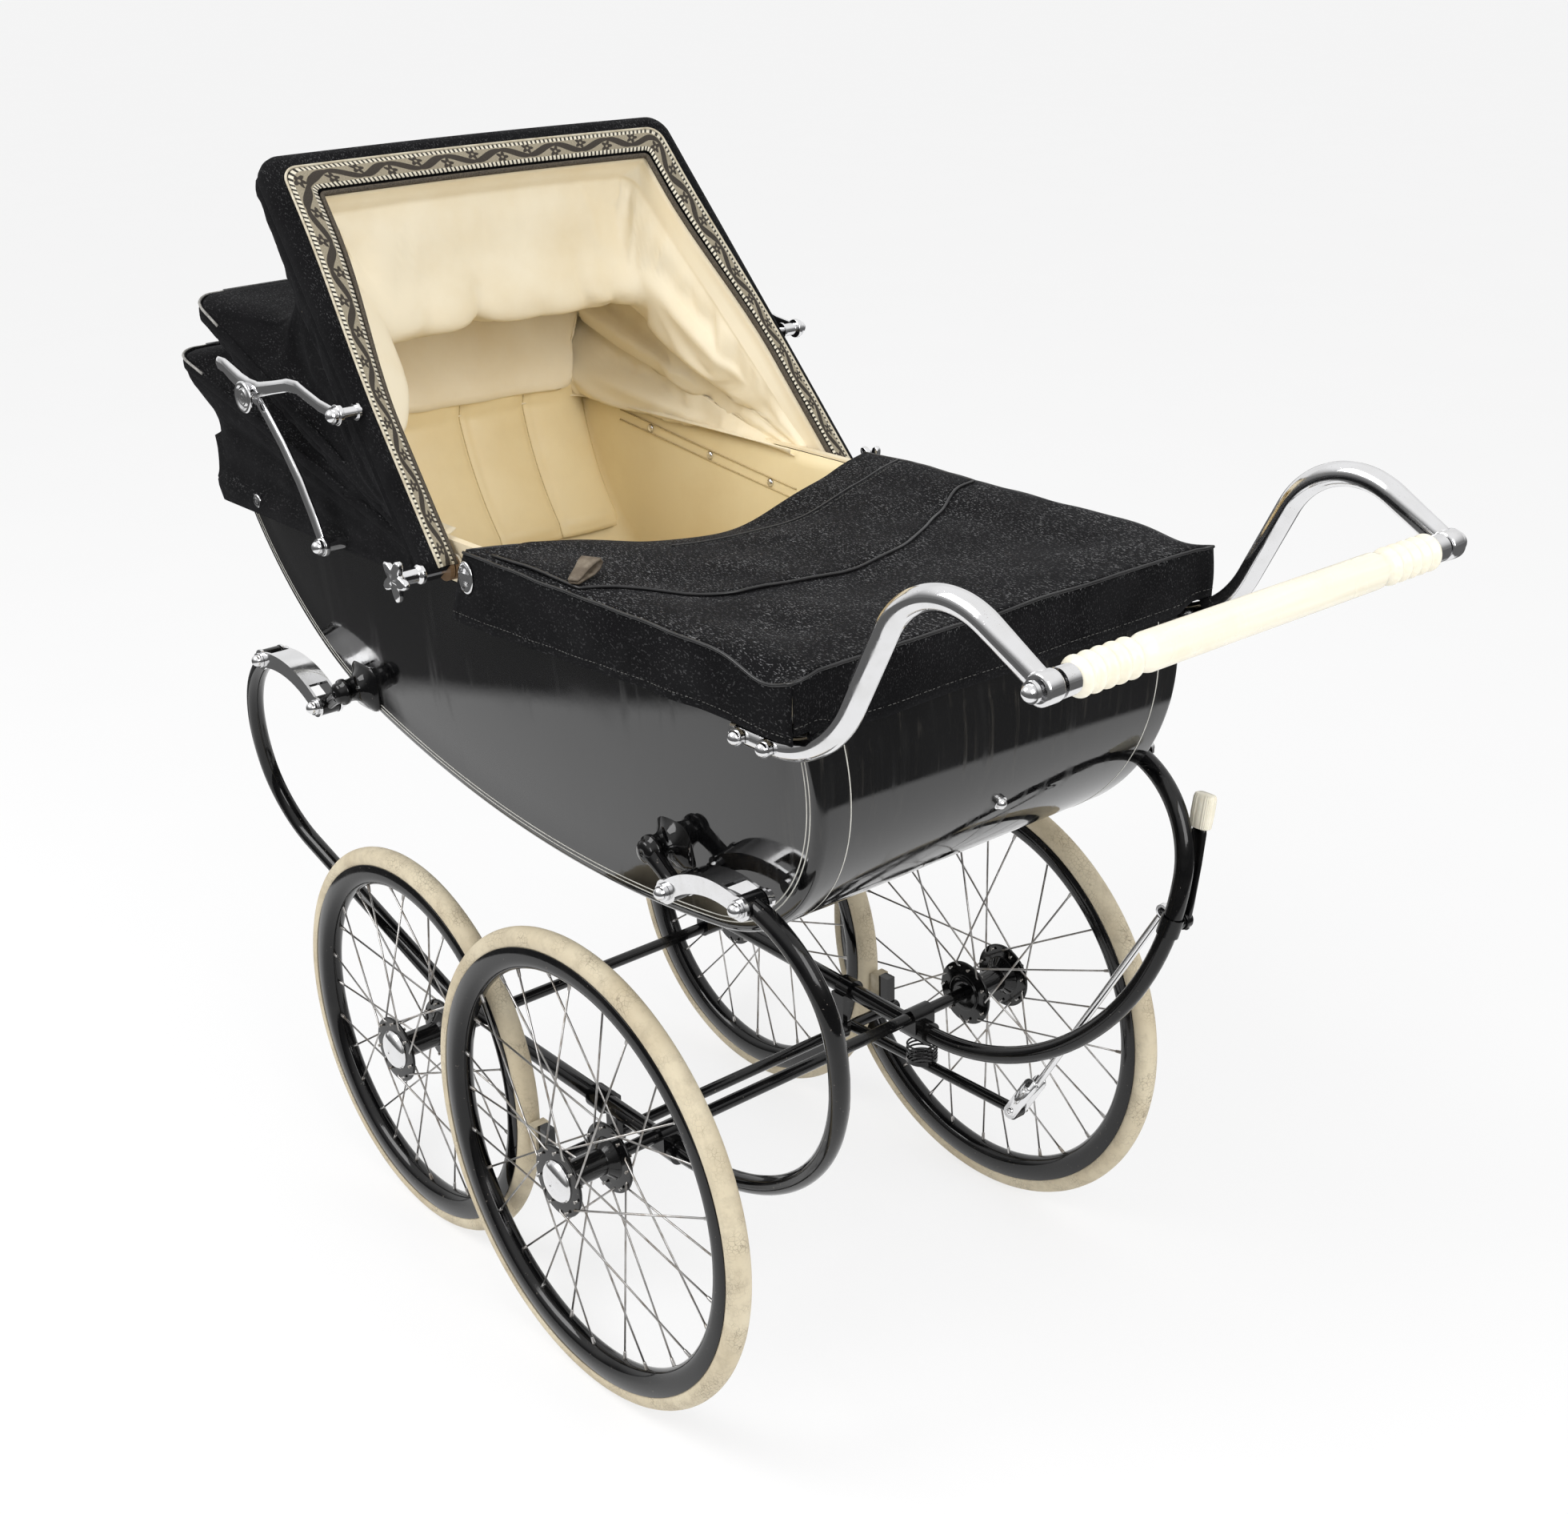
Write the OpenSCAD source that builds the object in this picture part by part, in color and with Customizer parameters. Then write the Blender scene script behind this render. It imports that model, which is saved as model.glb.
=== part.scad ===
// Bassinet pram: sprung tube chassis, deep body, folding hood, apron, swan-neck handle and brake.
// Millimetres. +X runs from the hood end to the handle end, -Y is the left side, +Z is up.

/* [Wheels] */
// Radius of the handle-end wheels over the tyre
handle_wheel_r = 254; // [240:1:270]
// Radius of the hood-end wheels over the tyre
hood_wheel_r = 228.6; // [215:0.2:240]
// Distance between the two axles
wheelbase = 374.6; // [360:0.2:390]
// Distance between the planes of the handle-end wheels
handle_track = 568; // [560:1:600]
// Distance between the planes of the two wheels of one side
track_step = 38; // [35:0.5:41]
// Thickness of the round tyre
tyre_d = 24.5; // [20:0.5:27]
// Width of the rim over its walls
rim_w = 25; // [22:0.5:27]
// Depth of the rim from its edge to its rounded inside
rim_depth = 25; // [20:1:30]
// Thickness of the rim sheet
rim_wall = 1.6; // [1.2:0.1:2]
// Number of spokes in a wheel, half on each flange
spokes = 28; // [20:4:36]
// Thickness of a spoke
spoke_d = 2.2; // [1.8:0.1:2.6]
// Turn of the rim end of a spoke from its hub end
spoke_lead = 51.4286; // [30:0.1:60]
// Thickness of a spoke nipple
nipple_d = 4; // [3:0.1:5]
// Length of a spoke nipple
nipple_len = 9; // [6:0.5:12]
// Radius of a hub flange
flange_r = 38; // [34:1:42]
// Thickness of a hub flange
flange_t = 3.2; // [2.5:0.1:4]
// Distance of each flange from the wheel plane
flange_off = 31; // [26:1:33]
// Radius of the hub between its flanges
barrel_r = 14; // [13:0.5:16]
// Radius of the hub beside each flange
barrel_flare_r = 21; // [19:0.5:24]
// Distance of the spoke holes from the flange edge
spoke_edge = 5; // [4:0.5:7]
// Radius of the domed hub cap
cap_r = 22; // [20:0.5:26]
// Height of the hub cap
cap_h = 9; // [7:0.5:12]
// Thickness of the hub cap sheet
cap_t = 1.2; // [1:0.1:2]
// Thickness of the axles
axle_d = 14; // [12:0.5:15]
// Radius of the nut on each axle end
axle_nut_r = 10; // [9:0.5:11]
// Thickness of the nut on each axle end
axle_nut_t = 5; // [4:0.5:6]

/* [Chassis] */
// Thickness of the side tubes
tube_d = 19.5; // [17:0.5:21]
// Distance of each side rail inside the handle-end wheel plane
rail_in = 106; // [102:0.5:110]
// Distance of the spring ends outside the lowest width of the body
spring_out = 37.7; // [36.5:0.1:39]
// Straight rail past each axle
rail_over = 16; // [14:1:20]
// Radius of the long bend after the handle axle
handle_bend_r = 303; // [292:1:314]
// Radius of the bend below the handle-end curl
handle_mid_r = 275; // [265:1:285]
// Radius of the handle-end curl
handle_curl_r = 112; // [105:1:120]
// Heading where the first handle-end bend ends
handle_heading = 50; // [46:1:54]
// Turn of the handle-end curl
handle_curl = 75; // [70:1:80]
// Radius of the bend after the hood axle
hood_bend_r = 100; // [90:1:110]
// Heading of the straight run to the hood-end curl
hood_heading = 25; // [24:0.5:26]
// Length of the straight run to the hood-end curl
hood_run = 265; // [255:1:275]
// Radius below the hood-end curl
hood_mid_r = 105; // [98:1:112]
// Radius of the hood-end curl
hood_curl_r = 190; // [180:1:200]
// Turn of the hood-end curl
hood_curl = 66; // [62:1:70]
// Radius of the eyes at the spring ends
eye_r = 11; // [10.5:0.1:12]
// Width of the eyes at the spring ends
eye_w = 21; // [20:0.5:24]
// Thickness of the bolts through the eyes
bolt_d = 10; // [8:0.5:11]
// Wall of the axle saddles
saddle_wall = 4; // [3:0.5:6]
// Length of an axle saddle along the rail
saddle_len = 40; // [34:1:46]
// Width of an axle saddle along the axle
saddle_w = 30; // [28:1:34]

/* [Suspension] */
// Length of the hood-end shackles between bolts
hood_shackle = 123; // [116:1:130]
// Length of the handle-end shackles between bolts
handle_shackle = 108; // [102:1:114]
// Downward slope of the shackles toward the body
shackle_slope = 11.3; // [8:0.1:14]
// Height of the shackle arch
shackle_rise = 14; // [11:0.5:17]
// Depth of the shackle band
shackle_band = 18; // [16:0.5:20]
// Thickness of the shackle sheet
shackle_t = 3; // [2.5:0.1:4]
// Gap between an eye and a shackle cheek
cheek_gap = 0.7; // [0.6:0.05:0.9]
// Radius of the bolt heads and nuts
nut_r = 8.5; // [7.5:0.1:10]
// Thickness of the bolt heads and nuts
nut_t = 6; // [5:0.5:8]
// Inward reach of a body bracket from its bolt
bracket_reach = 38; // [34:1:44]
// Rise of a body bracket from its bolt
bracket_rise = 24; // [20:1:28]
// Radius of a bracket flange
bracket_r = 28; // [25:1:31]
// Thickness of a bracket flange
bracket_t = 5; // [4:0.5:7]
// Radius of a bracket boss
boss_r = 13; // [12:0.5:15]
// Radius of a bracket arm
bracket_arm_r = 8.5; // [7.5:0.1:9.5]

/* [Body] */
// Position of the lowest point of the body along the part
body_low_x = 140; // [130:1:150]
// Height of the lowest point of the body
body_low_z = 536; // [534:0.5:540]
// Depth of the body from its lowest point to its rim
body_depth = 312; // [310:0.5:316]
// Width of the body at its lowest point
body_w = 428; // [424:1:434]
// Outward flare of the body sides
flare = 4.8; // [4.5:0.1:5.1]
// Radius of the body bottom
bottom_r = 1300; // [1250:10:1350]
// Radius of the handle-end panel
handle_end_r = 190; // [180:1:200]
// Position of the centre of the handle-end panel along the part
handle_end_x = 302; // [295:1:308]
// Lean of the top of the handle-end panel
handle_end_lean = 9.7; // [8:0.1:11]
// Radius of the hood-end panel
hood_end_r = 380; // [360:1:400]
// Turn of the bottom before the hood-end panel
hood_end_turn = 17.5; // [16.5:0.1:18.5]
// Thickness of the body shell
wall = 6; // [5:0.5:7]
// Thickness of the rim edging
trim_t = 2.5; // [2:0.1:3]
// Depth of the rim edging down the outside
trim_drop = 42; // [36:1:46]
// Thickness of the lining
lining_t = 4; // [3:0.5:5]
// Height of the floor board above the lowest point of the body
floor_rise = 92; // [88:1:96]
// Thickness of the floor board
floor_t = 12; // [10:0.5:14]
// Thickness of the mattress
mattress_t = 58; // [50:1:62]
// Crown of the mattress
mattress_crown = 10; // [6:0.5:14]
// Margin of the mattress inside the lining
mattress_margin = 12; // [10:0.5:16]
// Rise of the back pad above the rim
pad_over = 47; // [40:1:52]
// Margin of the back pad inside the lining
pad_margin = 31.3; // [28:0.1:40]
// Thickness of the back pad at its foot
pad_t = 26; // [22:0.5:30]
// Depth of the sewn channels of the back pad
pad_channel = 6; // [4:0.5:8]
// Number of channels of the back pad
pad_channels = 4; // [3:1:6]
// Radius of the stud on the handle-end panel
end_stud_r = 7; // [6:0.5:9]
// Height of the stud on the handle-end panel
end_stud_h = 5; // [4:0.5:7]
// Angle of the stud on the handle-end panel
end_stud_angle = -24; // [-30:1:-18]

/* [Handle] */
// Thickness of the handle arms
arm_d = 22; // [20:0.5:22.5]
// Gap between the handle arms and the body side
arm_stand = 1.5; // [1:0.1:2.5]
// Position of the start of the handle arms along the part
arm_x = 408; // [400:1:414]
// Height of the handle arms below the rim
arm_drop = 68; // [66:1:72]
// Straight start of the handle arms
arm_start = 47; // [44:1:50]
// Radius of the first bend of the handle arms
arm_up_r = 110; // [105:1:115]
// Turn of the first bend of the handle arms
arm_up = 62; // [58:1:64]
// Straight run between the bends of the handle arms
arm_run = 83; // [78:1:88]
// Radius of the crest of the handle arms
arm_crest_r = 78; // [74:1:84]
// Turn of the crest of the handle arms
arm_crest = 92; // [88:1:96]
// Straight end of the handle arms
arm_end = 64; // [60:1:70]
// Radius of the grip
grip_r = 14; // [13:0.5:16]
// Radius of the ribs of the grip
grip_rib_r = 16; // [15:0.5:18]
// Width of a grip rib
grip_rib_w = 7; // [6:0.5:9]
// Spacing of the grip ribs
grip_rib_pitch = 11; // [10:0.5:13]
// Number of ribs at each end of the grip
grip_ribs = 6; // [4:1:8]
// Length of the ferrules between grip and arms
ferrule_len = 14; // [12:0.5:18]
// Radius of the ferrules
ferrule_r = 12; // [11:0.5:13]
// Distance between the two bolts of a handle arm
arm_bolt_gap = 36; // [32:1:38]
// Position of the first bolt from the start of a handle arm
arm_bolt_start = 14; // [12:0.5:16]

/* [Hood] */
// Position of the hood hinge along the part
hinge_x = -29; // [-32:0.5:-26]
// Depth of the hood hinge below the rim
hinge_drop = 22; // [20:0.5:24]
// Thickness of the hinge studs
hinge_d = 10; // [9:0.5:11]
// Angle of the front bow from the handle end
front_angle = 130.2; // [129:0.1:131]
// Length of the front bow
front_len = 472; // [462:1:480]
// Depth of the front bow band
front_band = 50; // [46:1:54]
// Thickness of the padded front bow
front_t = 28; // [25:0.5:30]
// Corner radius of the front bow
front_corner = 30; // [25:1:36]
// Outer distance of the front bow from the rim edging at the hinge
front_foot_off = 39.3; // [38.5:0.1:41]
// Inner distance of the front bow from the rim edging at the hinge
front_foot_gap = 16.3; // [15.8:0.1:17.2]
// Outer distance of the front bow from the rim edging at its top
front_top_off = 15.3; // [12:0.1:19]
// Angle of the middle bow
mid_angle = 157; // [156:0.1:158]
// Length of the middle bow
mid_len = 508; // [500:1:514]
// Angle of the rear bow
rear_angle = 166; // [165.5:0.1:167]
// Length of the rear bow
rear_len = 542; // [536:1:548]
// Thickness of the bow slats
slat_t = 5; // [4.5:0.1:5.2]
// Depth of the bow slats
slat_w = 10; // [8:0.5:12]
// Radius of the bow eyes at the hinge
bow_eye_r = 13; // [12:0.5:14]
// Outer distance of the middle bow from the rim edging
mid_off = 14.8; // [14.3:0.1:15.3]
// Outer distance of the rear bow from the rim edging
rear_off = 8.3; // [7.8:0.1:8.8]
// Thickness of the hood cloth
cloth_t = 2; // [1.8:0.1:2.4]
// Gap between the bows and the hood cloth
cloth_gap = 2; // [1.6:0.1:3]
// Dip of the cover between front and middle bows
front_dip = 172; // [160:1:180]
// Dip of the cover between middle and rear bows
mid_dip = 55; // [45:1:60]
// Dip of the cover behind the rear bow
rear_dip = 18; // [10:1:24]
// Length of the cover at its rear edge
edge_len = 528; // [520:1:536]
// Drop of the rear edge of the cover below the hinge
edge_drop = 24; // [22:0.5:28]
// Start of the side cloth from the hinge
cloth_start = 46; // [42:1:50]
// Inward fold of the side cloth
side_fold = 26; // [18:1:30]
// Distance of the cover sides from the rim edging
cover_off = 19.3; // [18.8:0.1:19.8]
// Depth of the hood lining inside the cover
lining_in = 26; // [24:0.5:28]
// Extra dip of the lining folds
lining_sag = 14; // [8:1:20]
// Distance of the hood lining sides from the rim edging
hood_lining_off = 2.7; // [2.5:0.1:2.9]
// Position of the stay stud behind the hinge
stay_back = 182; // [176:1:188]
// Depth of the stay stud below the hinge
stay_drop = 10; // [8:0.5:12]
// Position of the stay stud along the front bow
stay_up = 178; // [172:1:184]
// Position of the stay stud before the middle of the front bow
stay_ahead = 6; // [4:0.5:7]
// Radius of the stay rods
stay_r = 3.4; // [3:0.1:3.5]
// Thickness of the stay eyes
stay_t = 5; // [4.5:0.1:5.2]
// Radius of the stay eyes
stay_eye_r = 11; // [10:0.5:13]
// Inner distance of the lower stays from the rim edging
stay_off = 43.3; // [42.8:0.1:43.8]
// Gap between the lower and upper stays
stay_gap = 2.2; // [2:0.1:2.6]
// Thickness of the stay studs and pins
stay_pin_d = 9; // [8:0.5:10]
// Length of the stay lever behind the elbow
lever_back = 66; // [60:1:72]
// Rise of the stay lever behind the elbow
lever_rise = 25; // [22:1:30]
// Radius of the thumbscrew barrel
thumb_r = 10; // [9:0.5:11]
// Length of the thumbscrew
thumb_len = 20; // [18:0.5:24]
// Reach of the thumbscrew wings
thumb_reach = 24; // [20:1:28]

/* [Apron] */
// Distance of the apron skirt from the rim edging
skirt_off = 19.3; // [18.8:0.1:20.3]
// Depth of the apron skirt below the rim edging
skirt_drop = 46; // [42:0.5:46.5]
// Start of the skirt foot ahead of the hinge
skirt_start = 19; // [17:0.5:24]
// Slope of the skirt start toward the handle end
skirt_slope = 28; // [26:0.5:32]
// Scoop of the front edge of the apron
apron_scoop = 62; // [50:1:75]
// Sag of the front edge of the apron
apron_sag = 26; // [18:1:32]
// Thickness of the apron
apron_t = 2.4; // [2:0.1:3]
// Position of the end of the apron along the part
apron_end = 497; // [494:1:500]
// Position of the turn buttons behind the skirt start
button_in = 34; // [31:0.5:38]
// Depth of the turn buttons below the rim
button_drop = 18; // [15:0.5:22]
// Radius of the turn button stems
button_r = 3; // [2.5:0.1:3.5]
// Half length of the turn button knob
button_reach = 11; // [9:0.5:13]

/* [Brake] */
// Position of the brake bar along the part
brake_x = 70; // [68:0.5:73]
// Depth of the brake bar below the rail
brake_drop = 50; // [46:0.5:54]
// Thickness of the brake bar
brake_d = 13; // [12:0.5:14]
// Gap between brake shoe and tyre
shoe_gap = 3; // [2.6:0.1:3.6]
// Thickness of a brake shoe
shoe_t = 11; // [9:0.5:13]
// Width of a brake shoe
shoe_w = 18; // [15:0.5:19]
// Height of a brake shoe
shoe_h = 34; // [30:1:38]
// Distance of the brake arm outside the rail at the handle axle
brake_arm_out = 4; // [2:0.5:6]
// Length of the brake arm
brake_arm = 265; // [255:1:272]
// Rise of the brake arm at its end
brake_arm_rise = 5; // [3:0.5:7]
// Inward place of the hangers from the rail
hanger_in = 15; // [14:0.5:16]
// Thickness of the hanger plates
hanger_t = 7; // [6:0.5:8]
// Radius of the return spring over its wire
coil_r = 18; // [16:0.5:19]
// Thickness of the return spring wire
coil_wire = 2.6; // [2.2:0.1:3]
// Number of turns of the return spring
coil_turns = 4.5; // [4:0.25:5]
// Thickness of the spring seat
seat_t = 2; // [1.5:0.1:3]
// Heading of the handle-end bend at the brake lever
lever_heading = 79.5; // [77:0.5:82]
// Distance of the brake lever from the side tube
lever_off = 20; // [19.5:0.5:22]
// Thickness of the brake lever
lever_t = 6; // [5:0.5:7]
// Length of the brake lever up to its tip
lever_len = 134; // [124:1:142]
// Length of the brake lever grip
lever_grip = 36; // [30:1:42]
// Radius of the brake lever grip
lever_grip_r = 9; // [8:0.5:10]
// Reach of the lever crank toward the hood end
crank_reach = 20; // [18:0.5:23]
// Rise of the lever crank
crank_rise = 4; // [2:0.5:6]
// Thickness of the brake rod
rod_d = 8; // [7:0.5:9]
// Thickness of the brake pins
pin_d = 8; // [7:0.5:9]

/* [Fits] */
// Radial clearance of turning pieces
run_gap = 0.08; // [0.05:0.01:0.1]
// Clearance between fixed pieces
fit_gap = 0.3; // [0.25:0.01:0.4]
// Radial clearance of pins that close a linkage
link_gap = 1.2; // [1:0.05:1.5]
// Overrun of cuts
over = 5; // [3:0.5:8]

/* [Hidden] */
$fn = 64;
ring_fn = 128;
wire_fn = 16;
tube_sides = 16;
ring_turn = 6;

axle_r = axle_d / 2;
tube_r = tube_d / 2;
bolt_r = bolt_d / 2;
tyre_r = tyre_d / 2;
arm_r = arm_d / 2;
brake_r = brake_d / 2;
rod_r = rod_d / 2;
pin_r = pin_d / 2;
hinge_r = hinge_d / 2;
stay_pin_r = stay_pin_d / 2;

// Heading-and-turn runs of bent tube: each step is a radius and a turn, or a length and no turn.
function turned(p, s) = s[1] == 0
    ? [p[0] + s[0] * cos(p[2]), p[1] + s[0] * sin(p[2]), p[2]]
    : let (k = s[1] > 0 ? 1 : -1, h = p[2] + s[1])
      [p[0] + k * s[0] * (sin(h) - sin(p[2])), p[1] + k * s[0] * (cos(p[2]) - cos(h)), h];
function run_end(steps, p, i = 0) = i == len(steps) ? p : run_end(steps, turned(p, steps[i]), i + 1);
function mixed(a, b, t) = a + (b - a) * t;
function polar(r, a) = [r * cos(a), r * sin(a)];
function flat(rows) = [for (row = rows) each row];

// Chassis lines: the plane of each side frame starts at the handle-end saddle and leans out to the body.
hood_track = handle_track - 2 * track_step;
rail_y = handle_track / 2 - rail_in;
spring_rise = handle_bend_r * (1 - cos(handle_heading)) + handle_mid_r * cos(handle_heading)
    + handle_curl_r * sin(handle_curl);
lean = asin((body_w / 2 + spring_out - rail_y) / spring_rise);
rail_off = tube_r + axle_r + fit_gap;
rail_z = handle_wheel_r - rail_off;
hood_rail_z = hood_wheel_r + rail_off;
hood_v = (hood_rail_z - rail_z) / cos(lean);
rail_tilt = atan2(hood_v, wheelbase);
handle_start = [wheelbase / 2, 0, -rail_tilt];
hood_start = [wheelbase / 2, hood_v, rail_tilt];
handle_steps = [
    [rail_over, 0],
    [handle_bend_r, handle_heading + rail_tilt],
    [handle_mid_r, 90 - handle_heading],
    [handle_curl_r, handle_curl],
];
hood_steps = [
    [rail_over, 0],
    [hood_bend_r, hood_heading - rail_tilt],
    [hood_run, 0],
    [hood_mid_r, 90 - hood_heading],
    [hood_curl_r, hood_curl],
];
lever_steps = [handle_steps[0], handle_steps[1], [handle_mid_r, lever_heading - handle_heading]];
hood_rings = concat([hood_start], run_rings(hood_steps, hood_start));
side_rings = concat([for (i = [len(hood_rings) - 1 : -1 : 0])
        [-hood_rings[i][0], hood_rings[i][1], -hood_rings[i][2]]],
    [handle_start], run_rings(handle_steps, handle_start));
handle_tip = run_end(handle_steps, handle_start);
hood_tip = run_end(hood_steps, hood_start);
lever_tip = run_end(lever_steps, handle_start);
function leaned_y(v) = rail_y + v * sin(lean);
function leaned_z(v) = rail_z + v * cos(lean);
handle_pin = [handle_tip[0], leaned_z(handle_tip[1])];
hood_pin = [-hood_tip[0], leaned_z(hood_tip[1])];
handle_pin_y = leaned_y(handle_tip[1]);
hood_pin_y = leaned_y(hood_tip[1]);
handle_link = handle_pin - [handle_shackle * cos(shackle_slope), handle_shackle * sin(shackle_slope)];
hood_link = hood_pin + [hood_shackle * cos(shackle_slope), -hood_shackle * sin(shackle_slope)];
cheek_in = eye_w / 2 + cheek_gap;
cheek_out = cheek_in + shackle_t;

// Wheel lines
tyre_seat = sqrt(tyre_r * tyre_r - pow(rim_w / 2 - rim_wall, 2));
function rim_top(r) = r - tyre_r - tyre_seat - fit_gap;
function rim_in(r) = rim_top(r) - rim_depth;
hub_end = flange_off + flange_t / 2;
nut_hole_r = axle_nut_r + fit_gap;
nut_hole = axle_nut_t + 2 * fit_gap;
spoke_ring = flange_r - spoke_edge;

// Body lines
rim_z = body_low_z + body_depth;
bottom_c = [body_low_x, body_low_z + bottom_r];
handle_c = [handle_end_x,
    bottom_c[1] - sqrt(pow(bottom_r - handle_end_r, 2) - pow(handle_end_x - body_low_x, 2))];
hood_c = bottom_c + polar(bottom_r - hood_end_r, -90 - hood_end_turn);
handle_joint = atan2(handle_c[1] - bottom_c[1], handle_c[0] - bottom_c[0]);
hood_joint = -90 - hood_end_turn;
hood_arc_parts = 16;
bottom_arc_parts = 16;
handle_arc_parts = 20;
body_reach = 2 * (handle_end_r + hood_end_r + body_depth);
lining_in_body = wall + fit_gap;
inside = lining_in_body + lining_t;
function side_at(z, inset) = body_w / 2 + (z - body_low_z) * tan(flare) - inset / cos(flare);
function hood_wall_at(z, inset) = hood_c[0] - sqrt(pow(hood_end_r - inset, 2) - pow(z - hood_c[1], 2));
function handle_wall_at(z, inset) =
    handle_c[0] + sqrt(pow(handle_end_r - inset, 2) - pow(z - handle_c[1], 2));
bolt_share = 0.7;
trim_y = side_at(rim_z, -trim_t);
floor_z = body_low_z + floor_rise;
mattress_z = floor_z + floor_t + fit_gap;
mattress_top = mattress_z + mattress_t;
pad_w = 2 * (side_at(mattress_top, inside) - pad_margin);

// Handle lines
arm_z = rim_z - arm_drop;
arm_y = side_at(arm_z, 0) + arm_stand + arm_r;
arm_steps = [
    [arm_start, 0],
    [arm_up_r, arm_up],
    [arm_run, 0],
    [arm_crest_r, -arm_crest],
    [arm_end, 0],
];
arm_eye = arm_r * 1.08;
grip_at = run_end(arm_steps, [arm_x, arm_z, 0]);
arm_bolts = [arm_x + arm_bolt_start, arm_x + arm_bolt_start + arm_bolt_gap];

// Hood lines
front_foot_y = trim_y + front_foot_off;
front_foot_in = trim_y + front_foot_gap;
front_top_y = trim_y + front_top_off;
mid_y = trim_y + mid_off;
rear_y = trim_y + rear_off;
cover_y = trim_y + cover_off;
hood_lining_y = trim_y + hood_lining_off;
stay_y = trim_y + stay_off;
hinge = [hinge_x, rim_z - hinge_drop];
front_dir = polar(1, front_angle);
front_back = polar(1, front_angle + 90);
stay_low = hinge + [-stay_back, -stay_drop];
stay_high = hinge + stay_up * front_dir - stay_ahead * front_back;
elbow = stay_low + stay_high - hinge;
lever_end = elbow + [-lever_back, lever_rise];
stay_upper_y = stay_y + stay_t + stay_gap;
foot_out = front_foot_y;
front_inner_share = 0.42;
front_neck_share = 0.86;
function front_side(r) = mixed(front_foot_y, front_top_y, r / front_len);

// Hood cloth: rows from the front bow to the rear edge, each row runs leg, top, leg.
fold_start_share = 0.3;
front_rows = 7;
mid_rows = 4;
rear_rows = 4;
loop_shares = [[0, -1], [0.16, -1], [0.32, -1], [0.48, -1], [0.64, -1], [0.8, -1], [0.93, -1],
    [0.985, -0.975], [1, -0.9], [1.006, -0.5], [1.008, 0], [1.006, 0.5], [1, 0.9], [0.985, 0.975],
    [0.93, 1], [0.8, 1],
    [0.64, 1], [0.48, 1], [0.32, 1], [0.16, 1], [0, 1]];
front_off = front_t / 2 + fit_gap;
// Each row: angle, set-back, length, foot distance, top distance, fold share.
function row_between(a, b, n, dip, fold) = [for (i = [0 : n]) let (t = i / n)
    [mixed(a[0], b[0], t), mixed(a[1], b[1], t), mixed(a[2], b[2], t) - dip * sin(180 * t),
     mixed(a[3], b[3], t), mixed(a[4], b[4], t), fold * sin(180 * t)]];
function ridge(a, off) = [a[0] + off, a[1], a[2], a[3], a[4]];
mid_ridge = asin((slat_w / 2 + cloth_gap) / mid_len);
rear_ridge = asin((slat_w / 2 + cloth_gap) / rear_len);
function cloth_rows(front, mid, rear, edge, sag, rear_fold_share) =
    concat(row_between(front, ridge(mid, -mid_ridge), front_rows, front_dip + sag, 1),
        row_between(ridge(mid, mid_ridge), ridge(rear, -rear_ridge), mid_rows, mid_dip, 1),
        row_between(ridge(rear, rear_ridge), edge, rear_rows, rear_dip, rear_fold_share));
cover_fold_share = 0.22;
cover_rows = cloth_rows([front_angle, front_off, front_len, front_foot_y - fit_gap, front_top_y - fit_gap],
    [mid_angle, 0, mid_len + cloth_gap + cloth_t, cover_y, cover_y],
    [rear_angle, 0, rear_len + cloth_gap + cloth_t, cover_y, cover_y],
    [180, edge_drop, edge_len, cover_y, cover_y], 0, cover_fold_share);
lining_rows = cloth_rows([front_angle, front_off + cloth_gap, front_len - lining_in,
        mid_y - slat_t - cloth_gap, front_top_y - lining_in],
    [mid_angle, 0, mid_len - slat_t - 2 * cloth_gap, hood_lining_y, hood_lining_y],
    [rear_angle, 0, rear_len - slat_t - 2 * cloth_gap, hood_lining_y, hood_lining_y],
    [180, -lining_in, edge_len - lining_in, hood_lining_y, hood_lining_y], lining_sag, 0);
function cloth_point(row, s, start, fold, inset) =
    let (r = start + (row[2] - inset - start) * s[0],
         draw = fold * row[5] * max(0, min(1, (s[0] - fold_start_share) * 2)),
         y = s[1] * (mixed(row[3], row[4], s[0]) - draw - inset),
         p = hinge + polar(r, row[0]) + polar(row[1], row[0] + 90))
    [p[0], y, p[1]];
cover_points = flat([for (row = cover_rows)
    [for (s = loop_shares) cloth_point(row, s, cloth_start, side_fold, 0)]]);
grip_front = grip_at[0] + grip_rib_r;
hood_back = min([for (p = cover_points) p[0]]);
x_shift = -(grip_front + hood_back) / 2;

// Apron lines
apron_top = rim_z + trim_t + fit_gap;
skirt_y = trim_y + skirt_off;
skirt_foot = apron_top - skirt_drop;
skirt_front = hinge_x + skirt_start;
button_x = skirt_front + button_in;
button_z = rim_z - button_drop;

// Brake lines
brake_arm_y = rail_y + brake_arm_out;
brake_v = hood_v * (wheelbase / 2 - brake_x) / wheelbase;
brake_rail_y = leaned_y(brake_v);
brake_rail_z = leaned_z(brake_v);
brake_z = brake_rail_z - brake_drop;
shoe_y = hood_track / 2;
shoe_face = sqrt(pow(hood_wheel_r, 2)) - wheelbase / 2 + shoe_gap;
shoe_z = hood_wheel_r - shoe_h / 2;
brake_end = [brake_x + brake_arm, brake_z + brake_arm_rise];
lever_at = [lever_tip[0], leaned_z(lever_tip[1])];
lever_tube_y = leaned_y(lever_tip[1]);
lever_y = lever_tube_y + lever_off;
crank = lever_at + [-crank_reach, crank_rise];
coil_x = wheelbase / 2 + seat_t;
saddle_foot = rail_z - tube_r - saddle_wall;
seat_z = brake_z + brake_arm_rise * (coil_x - brake_x) / brake_arm + brake_r;
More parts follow.
